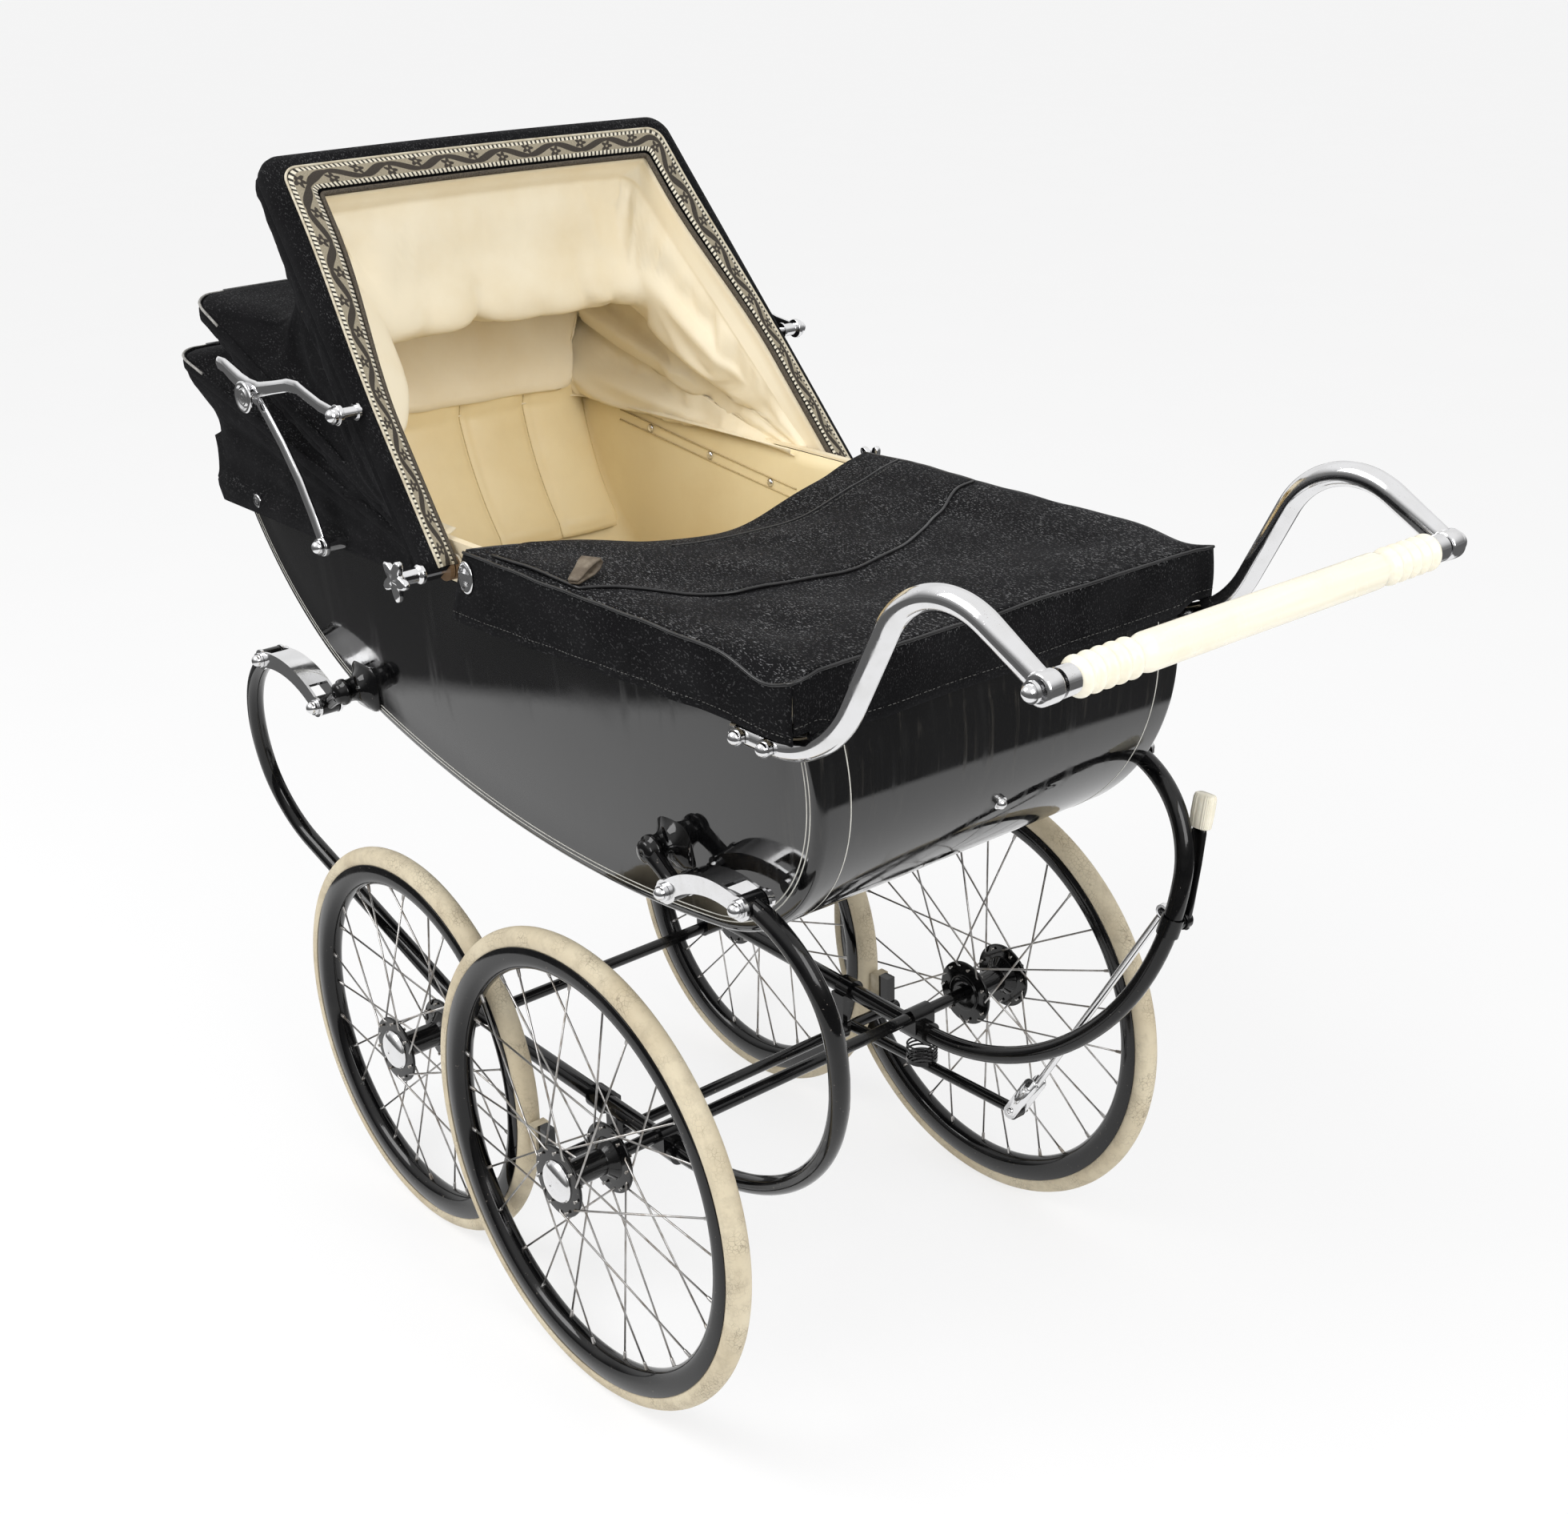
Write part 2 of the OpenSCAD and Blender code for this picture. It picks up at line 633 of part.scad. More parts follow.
coil_foot = seat_z + seat_t + fit_gap + coil_wire / 2;
coil_top = saddle_foot - fit_gap - coil_wire / 2;
coil_gap = (coil_top - coil_foot) / coil_turns - coil_wire;
echo(coil_gap = coil_gap);

// Shapes
module placed() {
    translate([x_shift, 0, 0]) children();
}

module sides() {
    children();
    mirror([0, 1, 0]) children();
}

module at(p) {
    translate([p[0], 0, p[1]]) children();
}

module ycyl(r, y0, y1) {
    translate([0, y0, 0]) rotate([-90, 0, 0]) cylinder(r = r, h = y1 - y0);
}

module xcyl(r, x0, x1) {
    translate([x0, 0, 0]) rotate([0, 90, 0]) cylinder(r = r, h = x1 - x0);
}

module rod(p, q, r) {
    v = q - p;
    l = norm(v);
    translate(p) rotate([0, acos(v[2] / l), atan2(v[1], v[0])]) cylinder(r = r, h = l);
}

module nut(r, t, y) {
    ycyl(r, y, y + t * 0.6);
    intersection() {
        translate([0, y + t * 0.6, 0]) sphere(r = r * 0.8);
        ycyl(r, y + t * 0.5, y + t * 2);
    }
}

// A bent tube as one skin: rings along the run, each with its heading.
function run_rings(steps, p, i = 0) = i == len(steps) ? [] : let (q = steps[i],
        n = q[1] == 0 ? 1 : ceil(abs(q[1]) / ring_turn))
    concat([for (k = [1 : n]) turned(p, q[1] == 0 ? [q[0] * k / n, 0] : [q[0], q[1] * k / n])],
        run_rings(steps, turned(p, q), i + 1));

module swept(rings, r) {
    m = tube_sides;
    n = len(rings);
    points = [for (q = rings) for (j = [0 : m - 1]) let (b = 360 * (j + 0.5) / m)
        [q[0] - r * cos(b) * sin(q[2]), q[1] + r * cos(b) * cos(q[2]), r * sin(b)]];
    walls = [for (i = [0 : n - 2]) for (j = [0 : m - 1]) let (k = (j + 1) % m)
        each [[i * m + k, i * m + j, (i + 1) * m + j], [i * m + k, (i + 1) * m + j, (i + 1) * m + k]]];
    ends = [[for (j = [0 : m - 1]) j], [for (j = [m - 1 : -1 : 0]) (n - 1) * m + j]];
    polyhedron(points = points, faces = concat(walls, ends), convexity = 8);
}

function grid_faces(n, m) = let (q = n * m) concat(
    flat([for (i = [0 : n - 2]) flat([for (j = [0 : m - 2]) let (a = i * m + j)
        [[a, a + 1, a + m], [a + 1, a + m + 1, a + m],
         [q + a, q + a + m, q + a + 1], [q + a + 1, q + a + m, q + a + m + 1]]])]),
    flat([for (i = [0 : n - 2]) let (a = i * m, b = i * m + m - 1)
        [[a, a + m, q + a], [a + m, q + a + m, q + a],
         [b, q + b, b + m], [b + m, q + b, q + b + m]]]),
    flat([for (j = [0 : m - 2]) let (a = j, b = (n - 1) * m + j)
        [[a, q + a, a + 1], [a + 1, q + a, q + a + 1],
         [b, b + 1, q + b], [b + 1, q + b + 1, q + b]]]));

module grid_solid(outer, inner, n, m, turn = false) {
    faces = grid_faces(n, m);
    polyhedron(points = concat(outer, inner), faces = turn ? [for (f = faces) [f[0], f[2], f[1]]] : faces,
        convexity = 8);
}

module wheel_at(x, track, r) {
    translate([x, -track / 2, r]) rotate([90, 0, 0]) children();
}

module tyre(r) {
    color([0.78, 0.74, 0.66]) rotate_extrude($fn = ring_fn) translate([r - tyre_r, 0]) circle(r = tyre_r);
}

module rim(r) {
    centre = rim_in(r) + rim_w / 2;
    color([0.06, 0.06, 0.06]) rotate_extrude($fn = ring_fn) difference() {
        union() {
            translate([centre, -rim_w / 2]) square([rim_top(r) - centre, rim_w]);
            translate([centre, 0]) circle(r = rim_w / 2);
        }
        translate([centre, rim_wall - rim_w / 2]) square([rim_top(r) - centre + over, rim_w - 2 * rim_wall]);
        translate([centre, 0]) circle(r = rim_w / 2 - rim_wall);
    }
}

module spoke_set(r) {
    half = spokes / 2;
    step = 360 / half;
    color([0.6, 0.6, 0.6]) for (i = [0 : half - 1], side = [-1, 1]) {
        a = i * step + (side > 0 ? step / 2 : 0);
        lead = i % 2 == 0 ? spoke_lead : -spoke_lead;
        z = side * (flange_off + (i % 2 == 0 ? 1 : -1) * flange_t * 0.5);
        foot = [spoke_ring * cos(a), spoke_ring * sin(a), z];
        mid = [rim_in(r) * cos(a + lead), rim_in(r) * sin(a + lead), side * spoke_d];
        tip = mid + (mid - foot) / norm(mid - foot) * rim_wall;
        neck = mid - (mid - foot) / norm(mid - foot) * nipple_len;
        rod(foot, tip, spoke_d / 2, $fn = wire_fn);
        rod(neck, tip, nipple_d / 2, $fn = wire_fn);
        translate([foot[0], foot[1], side * flange_off])
            cylinder(r = spoke_d / 2, h = flange_t + spoke_d, center = true, $fn = wire_fn);
    }
}

module hub() {
    f = flange_off;
    t = flange_t / 2;
    bore = axle_r + run_gap;
    flare_len = barrel_flare_r - barrel_r;
    color([0.07, 0.07, 0.07]) rotate_extrude() difference() {
        polygon([[bore, -hub_end - t], [barrel_flare_r, -hub_end - t], [barrel_flare_r, -f - t],
            [flange_r, -f - t], [flange_r, -f + t], [barrel_flare_r, -f + t], [barrel_r, -f + t + flare_len],
            [barrel_r, f - t - flare_len], [barrel_flare_r, f - t], [flange_r, f - t], [flange_r, f + t],
            [bore, f + t]]);
        translate([0, hub_end - nut_hole]) square([nut_hole_r, nut_hole + over]);
    }
}

module hub_cap() {
    steps = 6;
    color([0.8, 0.8, 0.8]) translate([0, 0, hub_end]) rotate_extrude() polygon(concat(
        [for (i = [0 : steps]) [cap_r * cos(90 * i / steps), cap_h * sin(90 * i / steps)]],
        [for (i = [steps : -1 : 0])
            [(cap_r - cap_t * 2) * cos(90 * i / steps), (cap_h - cap_t) * sin(90 * i / steps)]]));
}

module wheel_piece(kind, r) {
    if (kind == "tyre") tyre(r);
    if (kind == "rim") rim(r);
    if (kind == "spokes") spoke_set(r);
    if (kind == "hub") hub();
    if (kind == "hub_cap") hub_cap();
}

module wheel_node(kind, end, side) {
    x = end == "hood" ? -wheelbase / 2 : wheelbase / 2;
    r = end == "hood" ? hood_wheel_r : handle_wheel_r;
    track = end == "hood" ? hood_track : handle_track;
    if (side == "left") wheel_at(x, track, r) wheel_piece(kind, r);
    else mirror([0, 1, 0]) wheel_at(x, track, r) wheel_piece(kind, r);
}

module axles() {
    color([0.3, 0.3, 0.3]) for (e = [[-wheelbase / 2, hood_wheel_r, hood_track / 2],
            [wheelbase / 2, handle_wheel_r, handle_track / 2]]) at(e) {
        tip = e[2] + hub_end - fit_gap;
        ycyl(axle_r, -tip, tip);
        sides() ycyl(axle_nut_r, tip - axle_nut_t, tip);
        collar = e[2] - hub_end - flange_t;
        sides() ycyl(axle_r + saddle_wall, collar - saddle_wall, collar);
    }
}

module leaned() {
    translate([0, rail_y, rail_z]) rotate([90 - lean, 0, 0]) children();
}

module side_frames() {
    color([0.05, 0.05, 0.05]) sides() difference() {
        union() {
            leaned() swept(side_rings, tube_r);
            at(handle_pin) ycyl(eye_r, handle_pin_y - eye_w / 2, handle_pin_y + eye_w / 2);
            at(hood_pin) ycyl(eye_r, hood_pin_y - eye_w / 2, hood_pin_y + eye_w / 2);
        }
        at(handle_pin) ycyl(bolt_r, handle_pin_y - eye_w, handle_pin_y + eye_w);
        at(hood_pin) ycyl(bolt_r, hood_pin_y - eye_w, hood_pin_y + eye_w);
    }
}

module saddle(x, axle_z, z, y) {
    difference() {
        translate([x, y, 0]) {
            translate([0, 0, axle_z]) ycyl(axle_r + saddle_wall, -saddle_w / 2, saddle_w / 2);
            translate([0, 0, z]) rotate([0, rail_tilt, 0])
                xcyl(tube_r + saddle_wall, -saddle_len / 2, saddle_len / 2);
            translate([0, 0, (axle_z + z) / 2])
                cube([2 * (axle_r + saddle_wall), saddle_w, abs(axle_z - z)], center = true);
        }
        translate([x, y, axle_z]) ycyl(axle_r, -saddle_w, saddle_w);
        translate([x, y, z]) rotate([0, rail_tilt, 0]) xcyl(tube_r + run_gap, -saddle_len, saddle_len);
    }
}

module chassis_clamps() {
    color([0.07, 0.07, 0.07]) {
        sides() {
            saddle(wheelbase / 2, handle_wheel_r, rail_z, rail_y);
            saddle(-wheelbase / 2, hood_wheel_r, hood_rail_z, leaned_y(hood_v));
            difference() {
                union() {
                    translate([brake_x, brake_rail_y, brake_rail_z]) rotate([0, rail_tilt, 0])
                        xcyl(tube_r + saddle_wall, -saddle_w / 3, saddle_w / 3);
                    translate([brake_x - saddle_w / 3, brake_rail_y - hanger_in - hanger_t / 2, brake_z])
                        cube([saddle_w / 1.5, hanger_t, brake_drop]);
                    translate([brake_x, brake_rail_y - hanger_in, brake_z])
                        ycyl(brake_r + saddle_wall, -hanger_t, hanger_t);
                }
                translate([brake_x, brake_rail_y, brake_rail_z]) rotate([0, rail_tilt, 0])
                    xcyl(tube_r + run_gap, -saddle_w, saddle_w);
                translate([brake_x, brake_rail_y, brake_z]) ycyl(brake_r + run_gap, -saddle_w, saddle_w);
            }
        }
        difference() {
            union() {
                leaned() translate([lever_tip[0], lever_tip[1], 0]) rotate([0, 0, lever_heading])
                    xcyl(tube_r + saddle_wall / 2, -saddle_w / 3, saddle_w / 3);
                at(lever_at) ycyl(pin_r * 2, lever_tube_y, lever_y - lever_t / 2 - fit_gap);
                at(lever_at) ycyl(pin_r, lever_tube_y, lever_y + lever_t / 2 + fit_gap + run_gap);
                at(lever_at) ycyl(pin_r * 2, lever_y + lever_t / 2 + fit_gap, lever_y + lever_t + fit_gap);
            }
            leaned() translate([lever_tip[0], lever_tip[1], 0]) rotate([0, 0, lever_heading])
                xcyl(tube_r + fit_gap, -saddle_w, saddle_w);
        }
    }
}

module spring_bolts() {
    color([0.75, 0.75, 0.75]) sides() for (e = [[handle_pin, handle_pin_y], [hood_pin, hood_pin_y]]) at(e[0])
        translate([0, e[1], 0]) {
            ycyl(bolt_r, -cheek_out - nut_t, cheek_out + nut_t / 2);
            nut(nut_r, nut_t, cheek_out + fit_gap);
            ycyl(nut_r, -cheek_out - fit_gap - nut_t, -cheek_out - fit_gap);
        }
}

module shackle_shape(l, band_in, band_out) {
    r = (l * l / 4 + shackle_rise * shackle_rise) / (2 * shackle_rise);
    intersection() {
        translate([l / 2, shackle_rise - r]) difference() {
            circle(r = r + band_out, $fn = ring_fn);
            circle(r = r - band_in, $fn = ring_fn);
        }
        translate([0, -shackle_band]) square([l, 2 * shackle_band + shackle_rise]);
    }
}

module shackle(l) {
    half = shackle_band / 2;
    color([0.8, 0.8, 0.8]) difference() {
        union() {
            for (y = [-cheek_out, cheek_in]) translate([0, y + shackle_t, 0]) rotate([90, 0, 0])
                linear_extrude(height = shackle_t) {
                    shackle_shape(l, half, half);
                    circle(r = eye_r + cheek_gap);
                    translate([l, 0]) circle(r = eye_r + cheek_gap);
                }
            translate([0, cheek_out, 0]) rotate([90, 0, 0]) linear_extrude(height = 2 * cheek_out)
                intersection() {
                    shackle_shape(l, shackle_t - half, half);
                    translate([eye_r * 1.8, -shackle_band]) square([l - eye_r * 3.6, l]);
                }
        }
        ycyl(bolt_r + run_gap, -cheek_out - over, cheek_out + over);
        translate([l, 0, 0]) ycyl(bolt_r + link_gap, -cheek_out - over, cheek_out + over);
    }
}

module hood_shackle_at() {
    at(hood_pin) translate([0, hood_pin_y, 0]) rotate([0, shackle_slope, 0]) shackle(hood_shackle);
}

module handle_shackle_at() {
    at(handle_pin) translate([0, handle_pin_y, 0]) mirror([1, 0, 0])
        rotate([0, shackle_slope, 0]) shackle(handle_shackle);
}

module shackle_hood_left() { mirror([0, 1, 0]) hood_shackle_at(); }
module shackle_hood_right() { hood_shackle_at(); }
module shackle_handle_left() { mirror([0, 1, 0]) handle_shackle_at(); }
module shackle_handle_right() { handle_shackle_at(); }

module bracket(p, y, k) {
    foot = p + [k * bracket_reach, bracket_rise];
    base = side_at(foot[1], 0);
    color([0.07, 0.07, 0.07]) {
        translate([foot[0], base, foot[1]]) rotate([-flare, 0, 0]) {
            ycyl(bracket_r, 0, bracket_t);
            translate([0, bracket_t, 0]) rotate([-90, 0, 0])
                cylinder(r1 = bracket_r * 0.8, r2 = boss_r * 0.9, h = bracket_t * 2);
        }
        at(foot) ycyl(boss_r, base + bracket_t * 0.5, y + bracket_arm_r * 1.2);
        rod([foot[0], y, foot[1]], [p[0], y, p[1]], bracket_arm_r);
        at(p) ycyl(eye_r, y - eye_w / 2, y + eye_w / 2);
    }
}

module body_brackets() {
    sides() difference() {
        union() {
            bracket(hood_link, hood_pin_y, 1);
            bracket(handle_link, handle_pin_y, -1);
        }
        at(hood_link) ycyl(bolt_r, hood_pin_y - eye_w, hood_pin_y + eye_w);
        at(handle_link) ycyl(bolt_r, handle_pin_y - eye_w, handle_pin_y + eye_w);
    }
}

function arc_points(c, r, a0, a1, n) = [for (i = [1 : n]) c + polar(r, mixed(a0, a1, i / n))];
function outline(inset, top) =
    let (rh = hood_end_r - inset,
         first = 180 + asin((hood_c[1] - top) / rh),
         end = handle_c + polar(handle_end_r - inset, handle_end_lean),
         rise = top - end[1])
    concat([hood_c + polar(rh, first)], arc_points(hood_c, rh, first, 360 + hood_joint, hood_arc_parts),
        arc_points(bottom_c, bottom_r - inset, hood_joint, handle_joint, bottom_arc_parts),
        arc_points(handle_c, handle_end_r - inset, handle_joint, handle_end_lean, handle_arc_parts),
        [end + [-rise * tan(handle_end_lean), rise]]);

module tub(inset, top) {
    z0 = body_low_z - body_depth;
    z1 = top + body_depth;
    intersection() {
        rotate([90, 0, 0]) linear_extrude(height = 2 * body_w, center = true) polygon(outline(inset, top));
        rotate([90, 0, 90]) linear_extrude(height = 2 * body_reach, center = true)
            polygon([[-side_at(z0, inset), z0], [side_at(z0, inset), z0],
                [side_at(z1, inset), z1], [-side_at(z1, inset), z1]]);
    }
}

module side_holes(gap) {
    sides() {
        at(hinge) ycyl(hinge_r + gap, side_at(hinge[1], wall * 2), trim_y + over);
        at(stay_low) ycyl(stay_pin_r + gap, side_at(stay_low[1], wall * 2), trim_y + over);
        at([button_x, button_z]) ycyl(button_r + run_gap, side_at(button_z, wall * 2), trim_y + over);
        for (x = arm_bolts) at([x, arm_z]) ycyl(bolt_r + gap, side_at(arm_z, wall * 2), trim_y + over);
    }
}

module body_shell() {
    color([0.03, 0.03, 0.03]) difference() {
        tub(0, rim_z);
        tub(wall, rim_z + over);
        side_holes(0);
    }
}

module rim_trim() {
    color([0.85, 0.8, 0.68]) difference() {
        tub(-trim_t, rim_z + trim_t);
        tub(wall, rim_z + 2 * over);
        tub(0, rim_z);
        translate([-body_reach, -body_w, 0]) cube([2 * body_reach, 2 * body_w, rim_z - trim_drop]);
        side_holes(fit_gap);
    }
}

module lining() {
    color([0.87, 0.83, 0.73]) difference() {
        tub(lining_in_body, rim_z);
        tub(inside, rim_z + over);
    }
}

module floor_board() {
    color([0.55, 0.42, 0.28]) intersection() {
        tub(inside + fit_gap, rim_z);
        translate([-body_reach, -body_w, floor_z]) cube([2 * body_reach, 2 * body_w, floor_t]);
    }
}

// Cushion rows: place along the cushion and share of the full height at each row.
cushion_shares = [[0, 0.5], [0.015, 0.78], [0.05, 0.93], [0.2, 1], [0.5, 1], [0.8, 1], [0.95, 0.93],
    [0.985, 0.78],
    [1, 0.5]];
cushion_cross_shares = [[-1, 0.5], [-0.97, 0.78], [-0.9, 0.93], [-0.6, 1], [-0.2, 1], [0.2, 1], [0.6, 1],
    [0.9, 0.93], [0.97, 0.78], [1, 0.5]];
module mattress() {
    x0 = hood_wall_at(mattress_z, inside + mattress_margin);
    x1 = handle_wall_at(mattress_z, inside + mattress_margin);
    y = side_at(mattress_z, inside + mattress_margin);
    n = len(cushion_shares);
    m = len(cushion_cross_shares);
    top = [for (a = cushion_shares) for (b = cushion_cross_shares)
        [mixed(x0, x1, a[0]), y * b[0], mattress_z
            + (mattress_t - mattress_crown * (1 - sin(180 * a[0]) * cos(90 * b[0]))) * min(a[1], b[1])]];
    foot = [for (a = cushion_shares) for (b = cushion_cross_shares)
        [mixed(x0, x1, mixed(a[0], 0.5, mattress_margin / (x1 - x0))), y * b[0] * 0.98, mattress_z]];
    color([0.88, 0.85, 0.77]) grid_solid(top, foot, n, m);
}

pad_rise_shares = [0, 0.04, 0.16, 0.4, 0.65, 0.85, 0.95, 1];
module back_pad() {
    z0 = mattress_top + fit_gap;
    z1 = rim_z + pad_over;
    n = len(pad_rise_shares);
    cells = 6;
    m = pad_channels * cells + 1;
    foot_x = hood_wall_at(z0, inside + fit_gap);
    back_x = hood_wall_at(rim_z, inside + fit_gap + pad_t);
    rear_x = [for (s = pad_rise_shares) let (z = mixed(z0, z1, s))
        z < rim_z - pad_t ? hood_wall_at(z, inside + fit_gap) : mixed(foot_x, back_x, s)];
    front = [for (i = [0 : n - 1]) for (j = [0 : m - 1]) let (s = pad_rise_shares[i], e = sin(180 * s),
            edge = min(1, e * 4), c = abs(sin(180 * j / cells)))
        [foot_x + pad_t * (0.3 + 0.7 * edge) - pad_channel * (1 - c) * edge - pad_t * s * 0.2,
         pad_w * (j / (m - 1) - 0.5), mixed(z0, z1, s)]];
    rear = [for (i = [0 : n - 1]) for (j = [0 : m - 1])
        [min(rear_x[i], front[i * m][0] - pad_channel * 1.2), pad_w * (j / (m - 1) - 0.5),
         mixed(z0, z1, pad_rise_shares[i])]];
    color([0.88, 0.84, 0.75]) grid_solid(front, rear, n, m, true);
}

module handle_arms() {
    color([0.78, 0.78, 0.78]) sides() difference() {
        union() {
            translate([arm_x, arm_y, arm_z]) rotate([90, 0, 0])
                swept(concat([[0, 0, 0]], run_rings(arm_steps, [0, 0, 0])), arm_r);
            at(grip_at) ycyl(arm_r * 1.15, arm_y - arm_eye, arm_y + arm_eye);
        }
        for (x = arm_bolts) at([x, arm_z]) ycyl(bolt_r, arm_y - arm_d, arm_y + arm_d);
    }
}

module handle_grip() {
    l = arm_y - arm_eye - ferrule_len - 2 * fit_gap;
    color([0.86, 0.82, 0.7]) at(grip_at) {
        ycyl(grip_r, -l, l);
        sides() for (i = [0 : grip_ribs - 1])
            ycyl(grip_rib_r, l - grip_rib_w - i * grip_rib_pitch, l - i * grip_rib_pitch);
    }
}

module handle_fittings() {
    color([0.75, 0.75, 0.75]) sides() {
        at(grip_at) {
            ycyl(ferrule_r, arm_y - arm_eye - fit_gap - ferrule_len, arm_y - arm_eye - fit_gap);
            nut(nut_r, nut_t, arm_y + arm_eye + fit_gap);
        }
        for (x = arm_bolts) at([x, arm_z]) {
            ycyl(bolt_r, side_at(arm_z, wall * bolt_share), arm_y + arm_r + nut_t);
            nut(nut_r, nut_t, arm_y + arm_r + fit_gap);
        }
    }
}

module link_bolt(y) {
    ycyl(bolt_r, y - cheek_out - nut_t, y + cheek_out + nut_t / 2);
    nut(nut_r, nut_t, y + cheek_out + fit_gap);
    ycyl(nut_r, y - cheek_out - fit_gap - nut_t, y - cheek_out - fit_gap);
}

module body_studs() {
    color([0.75, 0.75, 0.75]) {
        sides() {
            at(hood_link) link_bolt(hood_pin_y);
            at(handle_link) link_bolt(handle_pin_y);
            at(hinge) {
                ycyl(hinge_r, side_at(hinge[1], wall * bolt_share), front_foot_y + thumb_len * 0.6);
                ycyl(bow_eye_r, trim_y + fit_gap, rear_y - slat_t - fit_gap);
            }
            at(stay_low) {
                ycyl(stay_pin_r, side_at(stay_low[1], wall * bolt_share),
                    stay_y + stay_t + fit_gap + nut_t / 2);
                ycyl(stay_pin_r * 1.5, cover_y + cloth_gap, stay_y - fit_gap);
                nut(nut_r, nut_t, stay_y + stay_t + fit_gap);
            }
        }
        at(handle_c) rotate([0, 90 - end_stud_angle, 0]) translate([0, 0, handle_end_r]) {
            cylinder(r = end_stud_r, h = end_stud_h * 0.6);
            intersection() {
                translate([0, 0, end_stud_h * 0.6]) sphere(r = end_stud_r * 0.8);
                cylinder(r = end_stud_r, h = end_stud_h * 2);
            }
        }
    }
}

module bow_place(a) {
    at(hinge) rotate([0, 90 - a, 0]) children();
}

// The bow stands on the hinge, length along Z, so a positive rotation about Y leans it to +X.
module hood_front_bow() {
    r = front_len;
    b = front_band;
    c = front_corner;
    neck = r * front_inner_share;
    inner_top = front_side(r) - b;
    color([0.05, 0.05, 0.05]) bow_place(front_angle) difference() {
        union() {
            rotate([90, 0, 90]) linear_extrude(height = front_t, center = true) difference() {
                union() {
                    polygon([[-front_side(0), 0], [front_side(0), 0], [front_side(r - c), r - c],
                        [-front_side(r - c), r - c]]);
                    translate([-front_side(r) + c, r - 2 * c]) square([2 * (front_side(r) - c), 2 * c]);
                    for (k = [-1, 1]) translate([k * (front_side(r - c) - c), r - c]) circle(r = c);
                }
                polygon([[-front_foot_in, -over], [front_foot_in, -over], [front_foot_in, neck],
                    [inner_top, r * front_neck_share], [inner_top - c, r - b], [c - inner_top, r - b],
                    [-inner_top, r * front_neck_share], [-front_foot_in, neck]]);
            }
            sides() ycyl(front_t / 2, front_foot_in, front_foot_y);
        }
        sides() ycyl(hinge_r + run_gap, front_foot_in - over, front_foot_y + over);
        sides() translate([stay_ahead, 0, stay_up])
            ycyl(stay_pin_r, front_foot_in - over, front_foot_y + over);
    }
}

module slat_bow(a, l, y) {
    c = front_corner;
    color([0.35, 0.25, 0.16]) bow_place(a) difference() {
        union() {
            rotate([90, 0, 90]) linear_extrude(height = slat_w, center = true) difference() {
                union() {
                    translate([-y, 0]) square([2 * y, l - c]);
                    translate([c - y, l - 2 * c]) square([2 * (y - c), 2 * c]);
                    for (k = [-1, 1]) translate([k * (y - c), l - c]) circle(r = c);
                }
                translate([slat_t - y, -over]) square([2 * (y - slat_t), l - c + over]);
                translate([c - y, l - 2 * c]) square([2 * (y - c), 2 * c - slat_t]);
                for (k = [-1, 1]) translate([k * (y - c), l - c]) circle(r = c - slat_t);
            }
            sides() ycyl(bow_eye_r, y - slat_t, y);
        }
        sides() ycyl(hinge_r + run_gap, y - slat_t - over, y + over);
    }
}

module hood_mid_bow() {
    slat_bow(mid_angle, mid_len, mid_y);
}

module hood_rear_bow() {
    slat_bow(rear_angle, rear_len, rear_y);
}

module cloth(rows, start, fold) {
    n = len(rows);
    m = len(loop_shares);
    outer = flat([for (row = rows) [for (s = loop_shares) cloth_point(row, s, start, fold, 0)]]);
    inner = flat([for (row = rows) [for (s = loop_shares) cloth_point(row, s, start, fold, cloth_t)]]);
    grid_solid(outer, inner, n, m, true);
}

module hood_cover() {
    color([0.06, 0.06, 0.06]) difference() {
        cloth(cover_rows, cloth_start, side_fold);
        sides() at(stay_low) ycyl(stay_pin_r + fit_gap, trim_y, stay_y);
    }
}

module hood_lining() {
    color([0.86, 0.82, 0.72]) cloth(lining_rows, cloth_start * 1.2, side_fold);
}

module bow_studs() {
    face = front_side(stay_up - stay_pin_d) + fit_gap;
    color([0.75, 0.75, 0.75]) sides() at(stay_high) {
        ycyl(stay_pin_r, front_foot_in + fit_gap, stay_upper_y + stay_t + fit_gap + nut_t / 2);
        ycyl(stay_pin_r * 2, face, face + stay_t / 2);
        ycyl(stay_pin_r * 1.5, face, stay_upper_y - fit_gap);
        nut(nut_r, nut_t, stay_upper_y + stay_t + fit_gap);
    }
}

module thumbscrew() {
    y = front_foot_y + fit_gap;
    wing = thumb_reach * 0.36;
    color([0.8, 0.8, 0.8]) at(hinge) difference() {
        union() {
            ycyl(thumb_r, y, y + thumb_len * 0.7);
            ycyl(thumb_r * 0.8, y, y + thumb_len);
            translate([0, y + thumb_len, 0]) rotate([90, 0, 0]) linear_extrude(height = thumb_len * 0.3)
                for (a = [20, 160]) {
                    translate(polar(thumb_reach - wing, a)) circle(r = wing);
                    rotate(a) translate([0, -wing * 0.7]) square([thumb_reach - wing, wing * 1.4]);
                }
        }
        ycyl(hinge_r + run_gap, y - over, y + thumb_len * 0.65);
    }
}

module thumbscrew_left() { mirror([0, 1, 0]) thumbscrew(); }
module thumbscrew_right() { thumbscrew(); }

module stay_eye(p, y, bore) {
    at(p) difference() {
        ycyl(stay_eye_r, y, y + stay_t);
        ycyl(bore, y - over, y + stay_t + over);
    }
}

function on_stay(p, y) = [p[0], y + stay_t / 2, p[1]];
function stay_trim(p, q) = p + (q - p) / norm(q - p) * stay_eye_r * 0.8;

